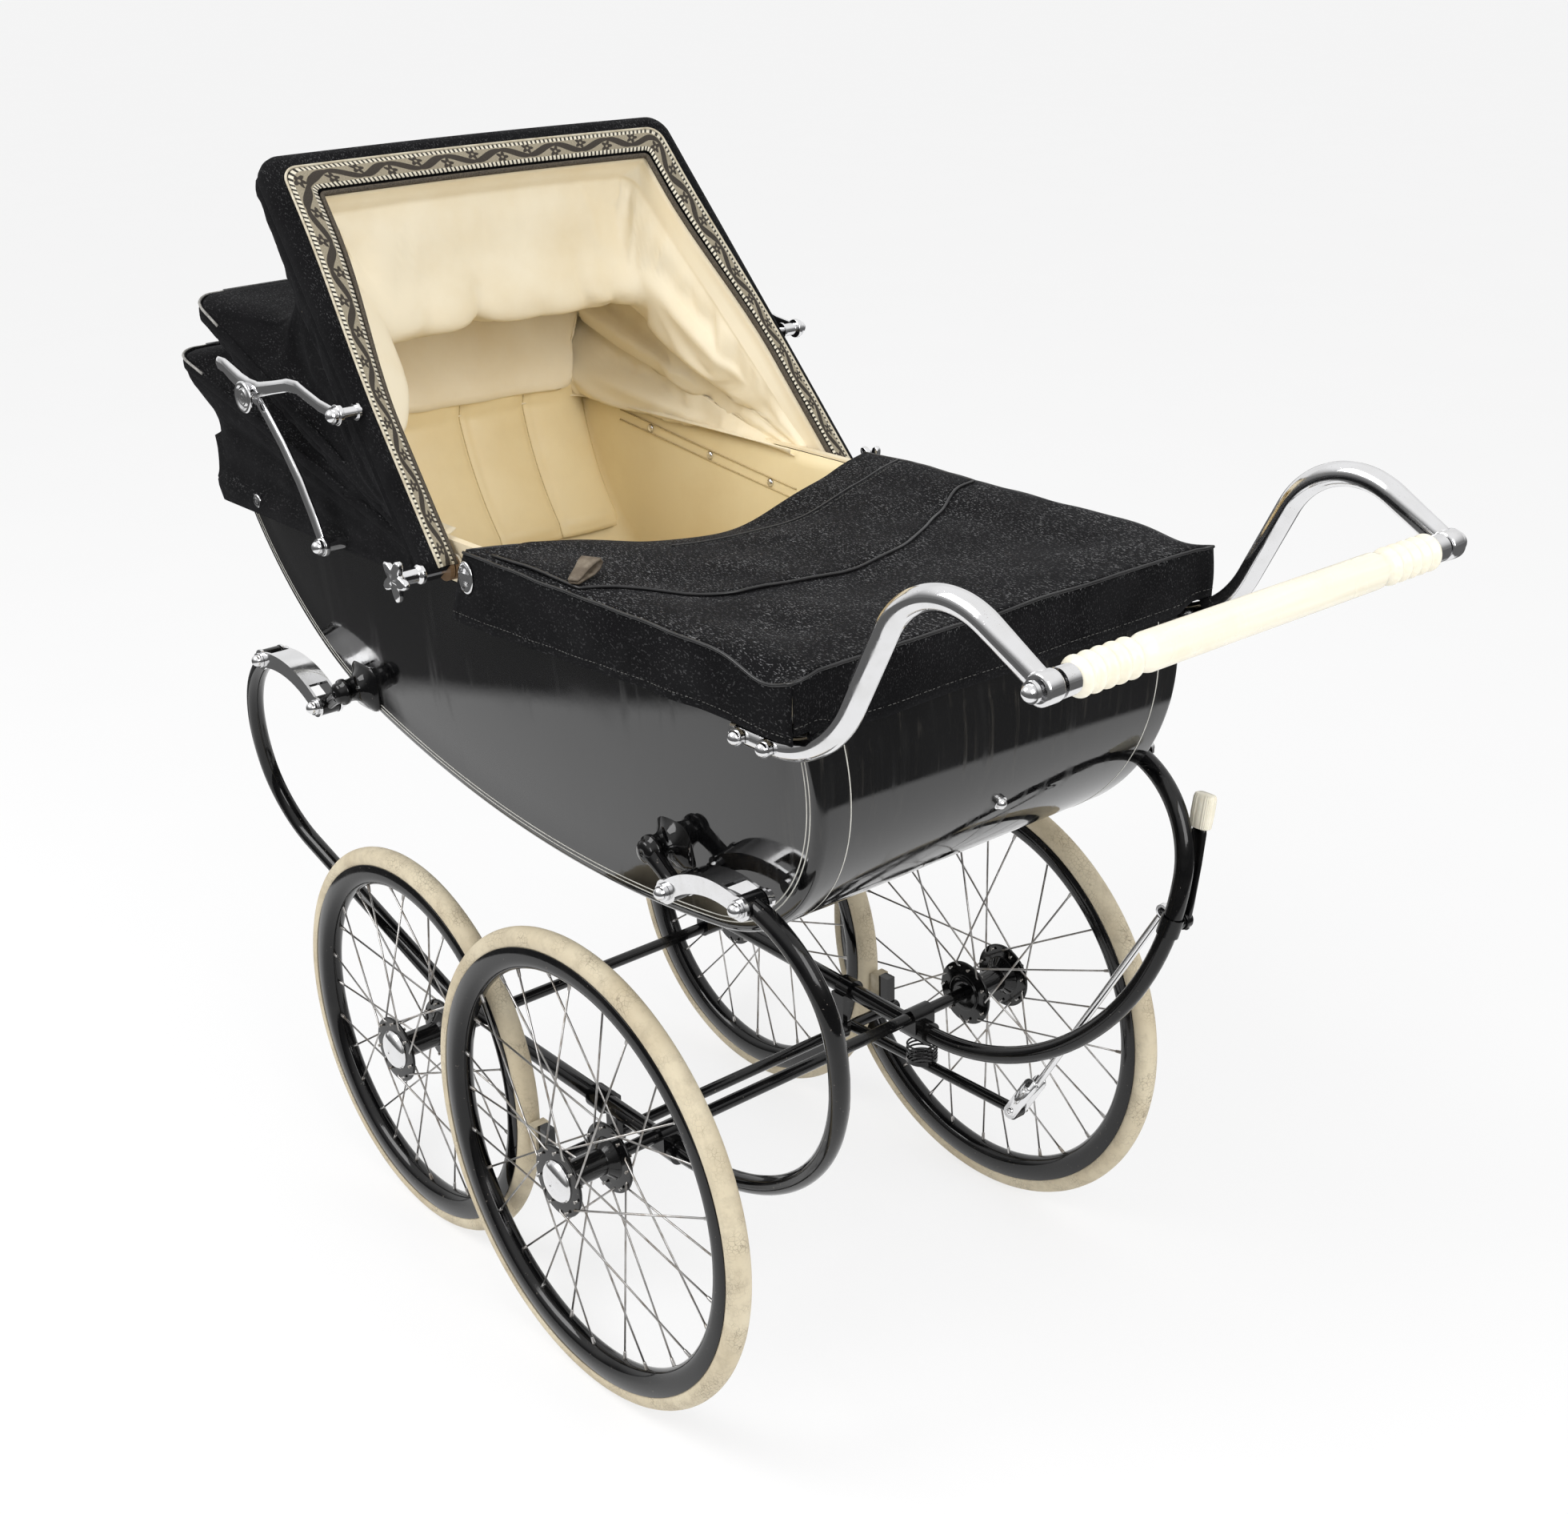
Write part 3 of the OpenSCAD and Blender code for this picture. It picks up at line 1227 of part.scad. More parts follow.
module stay_lower() {
    y = stay_y;
    r = stay_r;
    color([0.78, 0.78, 0.78]) {
        stay_eye(stay_low, y, stay_pin_r + run_gap);
        rod(on_stay(stay_trim(stay_low, elbow), y), on_stay(stay_trim(elbow, stay_low), y), r);
        at(elbow) {
            ycyl(stay_eye_r * 1.2, y, y + stay_t);
            ycyl(stay_pin_r * 0.8, y, stay_upper_y + stay_t + fit_gap * 2);
            ycyl(stay_eye_r * 0.7, stay_upper_y + stay_t + fit_gap, stay_upper_y + stay_t * 1.6);
        }
    }
}

// Rings along a bent rod: each one stands square to the mean of the headings beside it.
function heading(p, q) = atan2(q[1] - p[1], q[0] - p[0]);
function bent_rings(ps) = let (n = len(ps)) [for (i = [0 : n - 1])
    let (before = heading(ps[max(i - 1, 0)], ps[max(i, 1)]),
         after = heading(ps[min(i, n - 2)], ps[min(i + 1, n - 1)]))
    [ps[i][0], ps[i][1], (before + after) / 2]];

stay_bend_share = 0.42;
stay_rise_share = 0.9;
stay_knee_shares = [1.6, 1.5];
module stay_upper() {
    y = stay_upper_y;
    bend = mixed(stay_high, elbow, stay_bend_share) + [0, lever_rise * stay_rise_share];
    knee = elbow + stay_eye_r * stay_knee_shares;
    color([0.78, 0.78, 0.78]) {
        stay_eye(stay_high, y, stay_pin_r + run_gap);
        stay_eye(elbow, y, stay_pin_r * 0.8 + fit_gap);
        translate([0, y + stay_t / 2, 0]) rotate([90, 0, 0])
            swept(bent_rings([stay_trim(elbow, knee), knee, bend, stay_trim(stay_high, bend)]), stay_r);
        rod(on_stay(stay_trim(elbow, lever_end), y), on_stay(lever_end, y), stay_r);
        translate(on_stay(lever_end, y)) sphere(r = stay_r * 1.15);
    }
}

module stay_lower_left() { mirror([0, 1, 0]) stay_lower(); }
module stay_lower_right() { stay_lower(); }
module stay_upper_left() { mirror([0, 1, 0]) stay_upper(); }
module stay_upper_right() { stay_upper(); }

// Apron rows run from the scooped front edge to the handle end; each row runs skirt, top, skirt.
apron_rows = 10;
apron_cross_shares = [[-1, 0], [-1, 0.35], [-1, 0.7], [-1, 0.94], [-0.985, 1], [-0.9, 1], [-0.7, 1],
    [-0.45, 1], [-0.2, 1], [0, 1], [0.2, 1], [0.45, 1], [0.7, 1], [0.9, 1], [0.985, 1], [1, 0.94],
    [1, 0.7], [1, 0.35], [1, 0]];
function apron_point(i, s, inset) =
    let (t = i / apron_rows,
         scoop = cos(90 * s[0]) * (s[1] == 1 ? 1 : 0),
         dip = pow(scoop, 3),
         x0 = skirt_front + skirt_slope * s[1] + apron_scoop * scoop,
         x = mixed(x0, apron_end, t),
         y = s[0] * (skirt_y - inset),
         z = skirt_foot + (skirt_drop + apron_t - inset) * s[1] - apron_sag * dip * pow(1 - t, 3))
    [x, y, z];

module apron() {
    n = apron_rows + 1;
    m = len(apron_cross_shares);
    outer = flat([for (i = [0 : apron_rows]) [for (s = apron_cross_shares) apron_point(i, s, 0)]]);
    inner = flat([for (i = [0 : apron_rows]) [for (s = apron_cross_shares) apron_point(i, s, apron_t)]]);
    color([0.07, 0.07, 0.07]) difference() {
        union() {
            grid_solid(outer, inner, n, m);
            translate([apron_end - apron_t, apron_t / 2 - skirt_y, skirt_foot])
                cube([apron_t, 2 * skirt_y - apron_t, skirt_drop + apron_t / 2]);
        }
        sides() at([button_x, button_z]) ycyl(button_r + fit_gap, trim_y, skirt_y + over);
    }
}

module turn_button() {
    y = skirt_y + fit_gap;
    h = button_r * 1.4;
    color([0.8, 0.8, 0.8]) at([button_x, button_z]) {
        ycyl(button_r, side_at(button_z, wall * bolt_share), y + h);
        translate([0, y + h, 0]) rotate([90, 0, 0]) linear_extrude(height = h) {
            for (k = [-1, 1]) translate([k * (button_reach - button_r * 1.3), 0]) circle(r = button_r * 1.3);
            square([2 * (button_reach - button_r * 1.3), button_r * 2.6], center = true);
        }
    }
}

module turn_button_left() { mirror([0, 1, 0]) turn_button(); }
module turn_button_right() { turn_button(); }

module brake_bar() {
    back = shoe_face + shoe_t;
    color([0.08, 0.08, 0.08]) {
        at([brake_x, brake_z]) ycyl(brake_r, -shoe_y - shoe_w / 2, shoe_y + shoe_w / 2);
        sides() translate([back, shoe_y - shoe_w / 3, brake_z])
            cube([brake_x - back, shoe_w / 1.5, shoe_z + shoe_h / 2 - brake_z]);
        rod([brake_x, brake_arm_y, brake_z], [brake_end[0], brake_arm_y, brake_end[1]], brake_r);
        translate([coil_x, brake_arm_y, seat_z - brake_r / 2]) cylinder(r = coil_r, h = brake_r / 2 + seat_t);
        at(brake_end) ycyl(brake_r * 1.4, brake_arm_y - brake_r, brake_arm_y + brake_r);
        at(brake_end) ycyl(pin_r, brake_arm_y, brake_arm_y + brake_r + fit_gap * 2 + lever_t);
    }
}

module brake_shoes() {
    color([0.8, 0.76, 0.66]) sides() translate([shoe_face, shoe_y - shoe_w / 2, shoe_z - shoe_h / 2])
        cube([shoe_t, shoe_w, shoe_h]);
}

module brake_rod() {
    y0 = brake_arm_y + brake_r + fit_gap;
    y1 = lever_y - lever_t / 2 - fit_gap - lever_t;
    low = [brake_end[0], y0 + lever_t / 2, brake_end[1]];
    high = [crank[0], y1 + lever_t / 2, crank[1]];
    dir = (high - low) / norm(high - low);
    color([0.75, 0.75, 0.75]) {
        at(brake_end) difference() {
            ycyl(pin_r * 2, y0, y0 + lever_t);
            ycyl(pin_r + run_gap, y0 - over, y0 + lever_t + over);
        }
        at(crank) difference() {
            ycyl(pin_r * 2, y1, y1 + lever_t);
            ycyl(pin_r + link_gap, y1 - over, y1 + lever_t + over);
        }
        rod(low + dir * pin_r * 1.5, high - dir * pin_r * 1.8, rod_r);
    }
}

module brake_lever() {
    y0 = lever_y - lever_t / 2;
    y1 = lever_y + lever_t / 2;
    color([0.06, 0.06, 0.06]) difference() {
        union() {
            at(lever_at) ycyl(pin_r * 2.4, y0, y1);
            at(crank) ycyl(pin_r * 1.6, y0, y1);
            at(crank) ycyl(pin_r, y0 - lever_t - 2 * fit_gap, y1);
            rod([lever_at[0], lever_y, lever_at[1]], [crank[0], lever_y, crank[1]], lever_t * 0.45);
            translate([lever_at[0], lever_y, lever_at[1]]) rotate([-lean, 0, 0])
                cylinder(r = lever_t * 0.8, h = lever_len - lever_grip / 2);
        }
        at(lever_at) ycyl(pin_r + run_gap, y0 - over, y1 + over);
        at(lever_at) ycyl(pin_r * 2.2, y1, y1 + over * 2);
        at(lever_at) ycyl(pin_r * 2.2, y0 - over, y0);
    }
}

module brake_lever_grip() {
    foot = lever_len - lever_grip;
    ribs = 5;
    pitch = lever_grip / (ribs + 1);
    color([0.85, 0.81, 0.7]) translate([lever_at[0], lever_y, lever_at[1]]) rotate([-lean, 0, 0])
            difference() {
        translate([0, 0, foot]) {
            cylinder(r = lever_grip_r * 0.85, h = lever_grip - lever_grip_r / 2);
            for (i = [0 : ribs - 1]) translate([0, 0, i * pitch]) cylinder(r = lever_grip_r, h = pitch * 0.6);
            translate([0, 0, lever_grip - lever_grip_r]) sphere(r = lever_grip_r);
        }
        translate([0, 0, foot - over]) cylinder(r = lever_t * 0.8, h = lever_grip / 2 + over);
    }
}

module brake_spring() {
    rings = round(coil_turns * 12);
    sides_n = 8;
    r = coil_r - coil_wire / 2;
    slope = atan2((coil_top - coil_foot) / coil_turns, 360 * r * PI / 180);
    points = [for (i = [0 : rings]) for (j = [0 : sides_n - 1]) let (a = 360 * coil_turns * i / rings,
            b = 360 * j / sides_n, u = coil_wire / 2 * cos(b), v = coil_wire / 2 * sin(b))
        [(r + u) * cos(a) + v * sin(slope) * sin(a), (r + u) * sin(a) - v * sin(slope) * cos(a),
         mixed(coil_foot, coil_top, i / rings) + v * cos(slope)]];
    walls = [for (i = [0 : rings - 1]) for (j = [0 : sides_n - 1]) let (k = (j + 1) % sides_n)
        each [[(i + 1) * sides_n + j, i * sides_n + j, i * sides_n + k],
              [(i + 1) * sides_n + j, i * sides_n + k, (i + 1) * sides_n + k]]];
    ends = [[for (j = [sides_n - 1 : -1 : 0]) j], [for (j = [0 : sides_n - 1]) rings * sides_n + j]];
    color([0.1, 0.1, 0.1]) translate([coil_x, brake_arm_y, 0])
        polyhedron(points = points, faces = concat(walls, ends), convexity = 8);
}

placed() side_frames();
placed() axles();
placed() chassis_clamps();
placed() spring_bolts();
placed() wheel_node("tyre", "hood", "left");  // tyre_hood_left
placed() wheel_node("rim", "hood", "left");  // rim_hood_left
placed() wheel_node("spokes", "hood", "left");  // spokes_hood_left
placed() wheel_node("hub", "hood", "left");  // hub_hood_left
placed() wheel_node("hub_cap", "hood", "left");  // hub_cap_hood_left
placed() wheel_node("tyre", "hood", "right");  // tyre_hood_right
placed() wheel_node("rim", "hood", "right");  // rim_hood_right
placed() wheel_node("spokes", "hood", "right");  // spokes_hood_right
placed() wheel_node("hub", "hood", "right");  // hub_hood_right
placed() wheel_node("hub_cap", "hood", "right");  // hub_cap_hood_right
placed() wheel_node("tyre", "handle", "left");  // tyre_handle_left
placed() wheel_node("rim", "handle", "left");  // rim_handle_left
placed() wheel_node("spokes", "handle", "left");  // spokes_handle_left
placed() wheel_node("hub", "handle", "left");  // hub_handle_left
placed() wheel_node("hub_cap", "handle", "left");  // hub_cap_handle_left
placed() wheel_node("tyre", "handle", "right");  // tyre_handle_right
placed() wheel_node("rim", "handle", "right");  // rim_handle_right
placed() wheel_node("spokes", "handle", "right");  // spokes_handle_right
placed() wheel_node("hub", "handle", "right");  // hub_handle_right
placed() wheel_node("hub_cap", "handle", "right");  // hub_cap_handle_right
placed() shackle_hood_left();
placed() shackle_hood_right();
placed() shackle_handle_left();
placed() shackle_handle_right();
placed() body_brackets();
placed() body_shell();
placed() rim_trim();
placed() lining();
placed() floor_board();
placed() mattress();
placed() back_pad();
placed() handle_arms();
placed() handle_grip();
placed() handle_fittings();
placed() body_studs();
placed() hood_front_bow();
placed() hood_mid_bow();
placed() hood_rear_bow();
placed() hood_cover();
placed() hood_lining();
placed() bow_studs();
placed() thumbscrew_left();
placed() thumbscrew_right();
placed() stay_lower_left();
placed() stay_lower_right();
placed() stay_upper_left();
placed() stay_upper_right();
placed() apron();
placed() turn_button_left();
placed() turn_button_right();
placed() brake_bar();
placed() brake_shoes();
placed() brake_rod();
placed() brake_lever();
placed() brake_lever_grip();
placed() brake_spring();
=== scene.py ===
"""Bassinet pram: the finish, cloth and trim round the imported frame."""

import math

import bmesh
import bpy
from mathutils import Matrix, Vector, noise
from mathutils.bvhtree import BVHTree

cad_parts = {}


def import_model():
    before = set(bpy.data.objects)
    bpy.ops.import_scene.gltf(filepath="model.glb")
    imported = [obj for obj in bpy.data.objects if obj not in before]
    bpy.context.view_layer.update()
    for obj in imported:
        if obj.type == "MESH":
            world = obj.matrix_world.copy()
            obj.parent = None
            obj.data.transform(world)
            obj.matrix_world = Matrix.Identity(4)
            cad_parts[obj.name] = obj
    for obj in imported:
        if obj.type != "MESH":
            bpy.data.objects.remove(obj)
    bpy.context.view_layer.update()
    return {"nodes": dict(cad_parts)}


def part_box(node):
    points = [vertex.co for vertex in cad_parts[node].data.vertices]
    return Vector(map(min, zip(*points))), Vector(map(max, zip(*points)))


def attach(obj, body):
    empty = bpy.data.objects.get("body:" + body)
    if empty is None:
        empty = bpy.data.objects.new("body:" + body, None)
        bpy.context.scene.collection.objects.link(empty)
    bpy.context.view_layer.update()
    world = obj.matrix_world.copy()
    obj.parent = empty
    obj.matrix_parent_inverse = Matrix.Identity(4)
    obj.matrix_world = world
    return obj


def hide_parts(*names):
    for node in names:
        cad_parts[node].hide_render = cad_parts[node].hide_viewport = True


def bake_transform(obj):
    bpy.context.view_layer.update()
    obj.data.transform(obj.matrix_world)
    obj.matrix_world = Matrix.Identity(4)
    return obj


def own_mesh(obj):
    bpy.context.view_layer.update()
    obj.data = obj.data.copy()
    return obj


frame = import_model()
NODES = frame["nodes"]

# Sizes are in millimetres. X runs from the middle between the axles to the handle, Z up from the floor.
MM = 0.001
AXLE_LOW, AXLE_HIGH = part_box("axles")
MID_X = (AXLE_LOW.x + AXLE_HIGH.x) / 2
SIDES = (("left", -1), ("right", 1))

# Wheels
WHEELBASE = 374.6
WHEELS = {"handle": (WHEELBASE / 2, 284.0, 254.0), "hood": (-WHEELBASE / 2, 246.0, 228.6)}
TYRE_R = 12.25
RIM_W = 25.0
RIM_DEPTH = 25.0
RIM_WALL = 1.6
RIM_GAP = 0.3
SPOKES = 28
SPOKE_LEAD = 51.4286
SPOKE_R = 1.1
NIPPLE_R = 2.1
NIPPLE_LEN = 10.0
FLANGE_R = 38.0
FLANGE_T = 3.2
FLANGE_OFF = 31.0
SPOKE_RING = 33.0
BARREL_R = 14.0
BARREL_FLARE_R = 21.0
CAP_R = 22.0
CAP_H = 9.0
AXLE_R = 7.0
WHEEL_STEPS = 160
ACROSS_Y = (0, 1, 0)

# Chassis
TUBE_R = 9.75
RAIL_Y = 178.0
LEAN = math.radians(10.8)
RAIL_OFF = TUBE_R + AXLE_R + RIM_GAP
RAIL_Z = WHEELS["handle"][2] - RAIL_OFF
HOOD_V = (WHEELS["hood"][2] + RAIL_OFF - RAIL_Z) / math.cos(LEAN)
RAIL_TILT = math.atan2(HOOD_V, WHEELBASE)
RAIL_OVER = 16.0
HANDLE_TURN = math.radians(50)
HOOD_TURN = math.radians(25)
HANDLE_RUN = [(RAIL_OVER, 0), (303, HANDLE_TURN + RAIL_TILT), (275, math.pi / 2 - HANDLE_TURN),
              (112, math.radians(75))]
HOOD_RUN = [(RAIL_OVER, 0), (100, HOOD_TURN - RAIL_TILT), (265, 0), (105, math.pi / 2 - HOOD_TURN),
            (190, math.radians(66))]

# Body
RIM_Z = 848.0
BODY_LOW_Z = 536.0
HALF_W = 214.0
FLARE = math.radians(4.8)
HOOD_C = (-136.65, 958.58)
HOOD_R = 380.0
BOTTOM_C = (140.0, 1836.0)
BOTTOM_R = 1300.0
HANDLE_C = (302.0, 737.9)
HANDLE_R = 190.0
HOOD_JOINT = math.radians(-107.5)
HANDLE_JOINT = math.atan2(HANDLE_C[1] - BOTTOM_C[1], HANDLE_C[0] - BOTTOM_C[0])
HANDLE_LEAN = math.radians(9.7)
EDGE_R = 10.0
SIDE_BULGE = 4.0
INSIDE = 10.3
TRIM_T = 2.5

# Handle
ARM_Y = 247.0
ARM_R = 11.0
ARM_START = (408.0, 780.0, 0.0)
ARM_RUN = [(47, 0), (110, math.radians(62)), (83, 0), (78, math.radians(-92)), (64, 0)]
GRIP_R = 14.0
GRIP_RIB_R = 16.0

# Hood
HINGE = (-29.0, 826.0)
FRONT_ANGLE = 130.2
MID_ANGLE = 157.0
REAR_ANGLE = 166.0
FRONT_LEN = 472.0
MID_LEN = 508.0
REAR_LEN = 542.0
FRONT_T = 28.0
FOOT_OUT = 282.0
TOP_OUT = 258.0
BOW_CORNER = 25.0
COVER_Y = 263.5
LINING_Y = 242.0
# Inner radius, outer radius and half length of a stay's eye.
EYE = (5.0, 11.0, 10.5)
# Points along a bow: each leg, each corner and the top.
LEG, TURN, ACROSS = 41, 10, 39

# Apron
APRON_EDGE = 853.2
SKIRT_Y = 262.0
SKIRT_FRONT = -10.0
APRON_FRONT = 18.0
APRON_SCOOP = 62.0
APRON_SAG = 26.0
APRON_END = 497.0
SKIRT_FOOT = 794.0
SKIRT_LOW = 780.0
BUTTON_AT = (24.0, 830.0)


# Shape helpers

def mixed(a, b, t):
    return a + (b - a) * t


def smooth(t):
    t = min(1.0, max(0.0, t))
    return t * t * (3 - 2 * t)


def polar(r, degrees):
    a = math.radians(degrees)
    return (r * math.cos(a), r * math.sin(a))


def world(p):
    """A point of the pram, in millimetres, as metres in the row frame."""
    return Vector((p[0] * MM + MID_X, p[1] * MM, p[2] * MM))


def evenly(a, b, parts):
    """Values from a to b in even steps."""
    return [mixed(a, b, i / parts) for i in range(parts + 1)]


def between(p, q, parts):
    """Points from p to q in even steps."""
    return [tuple(mixed(a, b, t) for a, b in zip(p, q)) for t in evenly(0.0, 1.0, parts)]


def circle(radius, parts):
    """Points round a flat circle."""
    turns = (2 * math.pi * i / parts for i in range(parts))
    return [(radius * math.cos(a), radius * math.sin(a)) for a in turns]


def uneven(a, b, c):
    """Smooth noise between about -1 and 1."""
    return noise.noise(Vector((a, b, c)))


def add_mesh(name, points, faces, material, body=None, uv=None):
    """One smooth mesh object, riding on a body if one is named."""
    data = bpy.data.meshes.new(name)
    data.from_pydata([world(p) for p in points], [], faces)
    if uv:
        layer = data.uv_layers.new(name="UVMap")
        for loop in data.loops:
            layer.data[loop.index].uv = uv[loop.vertex_index]
    data.materials.append(material)
    data.polygons.foreach_set("use_smooth", [True] * len(data.polygons))
    data.update()
    piece = bpy.data.objects.new(name, data)
    bpy.context.scene.collection.objects.link(piece)
    if body:
        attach(piece, body)
    return piece


def outward(piece):
    """Turns the faces of a closed mesh outward."""
    work = bmesh.new()
    work.from_mesh(piece.data)
    bmesh.ops.recalc_face_normals(work, faces=work.faces)
    work.to_mesh(piece.data)
    work.free()
    return piece


def dress(piece, node=None):
    """Where a piece stands for a node, hides the node."""
    if node:
        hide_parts(node)
    return piece


def grid_faces(rows, cols, round_rows=False, round_cols=False, start=0):
    faces = []
    for i in range(rows if round_rows else rows - 1):
        for j in range(cols if round_cols else cols - 1):
            a = start + i * cols + j
            b = start + i * cols + (j + 1) % cols
            c = start + ((i + 1) % rows) * cols + (j + 1) % cols
            d = start + ((i + 1) % rows) * cols + j
            faces.append((a, b, c, d))
    return faces


class Parts:
    """Points and faces of several solids that make one piece."""

    def __init__(self):
        self.points = []
        self.faces = []

    def take(self, points, faces):
        base = len(self.points)
        self.points += [tuple(p) for p in points]
        self.faces += [tuple(base + i for i in f) for f in faces]
        return self

    def piece(self, name, material, body, slot, node=None):
        return dress(outward(add_mesh(name, self.points, self.faces, material, body)), node)


def single(solid, name, material, body, slot, node=None):
    """A piece made of one solid."""
    return Parts().take(*solid).piece(name, material, body, slot, node)


def tube(path, radius, sides=16):
    """A round rod along a path; radius is one number or one for each point."""
    path = [Vector(p) for p in path]
    count = len(path)
    radii = radius if isinstance(radius, (list, tuple)) else [radius] * count
    points = []
    side = None
    for i, p in enumerate(path):
        along = (path[min(i + 1, count - 1)] - path[max(i - 1, 0)]).normalized()
        if side is None:
            side = along.orthogonal().normalized()
        side = (side - along * side.dot(along)).normalized()
        up = along.cross(side)
        for j in range(sides):
            a = 2 * math.pi * j / sides
            points.append(p + (side * math.cos(a) + up * math.sin(a)) * radii[i])
    ends = [tuple(range(sides)), tuple(range((count - 1) * sides, count * sides))]
    return points, grid_faces(count, sides, round_cols=True) + ends


def ribbon(edge_a, edge_b, lift):
    """A flat strip between two edges with its own thickness; lift is the thickness vector for each point."""
    n = len(edge_a)
    points = []
    for a, b, up in zip(edge_a, edge_b, lift):
        a, b, up = Vector(a), Vector(b), Vector(up)
        points += [a, b, b + up, a + up]
    return points, grid_faces(n, 4, round_cols=True) + [(0, 1, 2, 3), tuple(range(4 * n - 4, 4 * n))]


def lathe(profile, centre, axis, segments=48):
    """A turned shape: the profile holds radius and height along the axis from the centre."""
    axis = Vector(axis).normalized()
    side = axis.orthogonal().normalized()
    up = axis.cross(side)
    centre = Vector(centre)
    cols = len(profile)
    points = []
    for i in range(segments):
        a = 2 * math.pi * i / segments
        out = side * math.cos(a) + up * math.sin(a)
        points += [centre + out * r + axis * h for r, h in profile]
    return points, grid_faces(segments, cols, round_rows=True, round_cols=True)


def rounded(profile, radius, steps=4):
    """A closed profile with its corners rounded."""
    made = []
    for i, p in enumerate(profile):
        p = Vector(p)
        a = Vector(profile[i - 1]) - p
        b = Vector(profile[(i + 1) % len(profile)]) - p
        cut = min(radius, a.length * 0.48, b.length * 0.48)
        start, end = p + a.normalized() * cut, p + b.normalized() * cut
        for t in evenly(0.0, 1.0, steps):
            made.append(tuple(start * (1 - t) ** 2 + p * 2 * t * (1 - t) + end * t * t))
    return made


def ring(inner, outer, half, radius):
    """The rounded section of a plain ring."""
    return rounded([(inner, -half), (outer, -half), (outer, half), (inner, half)], radius)


def turned(p, step):
    """The end of one step of a bent run: a straight length, or a radius and a turn."""
    x, z, h = p
    length, turn = step
    if turn == 0:
        return (x + length * math.cos(h), z + length * math.sin(h), h)
    k = 1 if turn > 0 else -1
    to = h + turn
    return (x + k * length * (math.sin(to) - math.sin(h)), z + k * length * (math.cos(h) - math.cos(to)), to)


def run_points(steps, start, every=math.radians(3), pace=14.0):
    """Points and headings along a bent run."""
    made = [start]
    for length, turn in steps:
        first = made[-1]
        parts = max(1, math.ceil(abs(turn) / every)) if turn else max(1, math.ceil(length / pace))
        for i in range(1, parts + 1):
            made.append(turned(first, (length, turn * i / parts) if turn else (length * i / parts, 0)))
    return made


# Materials

def put(tree, kind, inputs=None, **settings):
    """A shader node with its settings, values and links."""
    made = tree.nodes.new(kind)
    for key, value in settings.items():
        setattr(made, key, value)
    for key, value in (inputs or {}).items():
        if isinstance(value, bpy.types.NodeSocket):
            tree.links.new(value, made.inputs[key])
        else:
            made.inputs[key].default_value = value
    return made


class Look:
    """A procedural material: a principled shader and short names for the nodes that feed it."""

    def __init__(self, name, colour, roughness, **sockets):
        self.material = bpy.data.materials.new(name)
        self.material.use_nodes = True
        self.tree = self.material.node_tree
        self.shader = self.tree.nodes["Principled BSDF"]
        self.colour = (*colour, 1.0)
        self.set("Base Color", self.colour)
        self.set("Roughness", roughness)
        for key, value in sockets.items():
            self.set(key.replace("_", " "), value)
        self.where = put(self.tree, "ShaderNodeTexCoord").outputs["Object"]

    def set(self, key, value):
        if isinstance(value, bpy.types.NodeSocket):
            self.tree.links.new(value, self.shader.inputs[key])
        else:
            self.shader.inputs[key].default_value = value

    def stretched(self, scale):
        return put(self.tree, "ShaderNodeMapping", {"Vector": self.where, "Scale": scale}).outputs["Vector"]

    def noise(self, scale, detail=4.0, where=None, rough=0.5):
        inputs = {"Vector": where or self.where, "Scale": scale, "Detail": detail, "Roughness": rough}
        return put(self.tree, "ShaderNodeTexNoise", inputs).outputs[0]

    def cells(self, scale, where=None, feature="F1"):
        inputs = {"Vector": where or self.where, "Scale": scale}
        return put(self.tree, "ShaderNodeTexVoronoi", inputs, feature=feature).outputs["Distance"]

    def span(self, value, low, high, to_low=0.0, to_high=1.0):
        inputs = {"Value": value, "From Min": low, "From Max": high, "To Min": to_low, "To Max": to_high}
        return put(self.tree, "ShaderNodeMapRange", inputs).outputs["Result"]

    def math(self, kind, a, b=0.0):
        return put(self.tree, "ShaderNodeMath", {0: a, 1: b}, operation=kind).outputs[0]

    def times(self, a, b):
        return self.math("MULTIPLY", a, b)

    def plus(self, a, b):
        return self.math("ADD", a, b)

    def minus(self, a, b):
        return self.math("SUBTRACT", a, b)

    def most(self, a, b):
        return self.math("MAXIMUM", a, b)

    def blend(self, share, a, b):
        a, b = (c if isinstance(c, bpy.types.NodeSocket) else (*c[:3], 1.0) for c in (a, b))
        return put(self.tree, "ShaderNodeMix", {0: share, 6: a, 7: b}, data_type="RGBA").outputs[2]

    def bump(self, height, strength, depth, after=None):
        inputs = {"Height": height, "Strength": strength, "Distance": depth}
        if after is not None:
            inputs["Normal"] = after
        return put(self.tree, "ShaderNodeBump", inputs).outputs["Normal"]


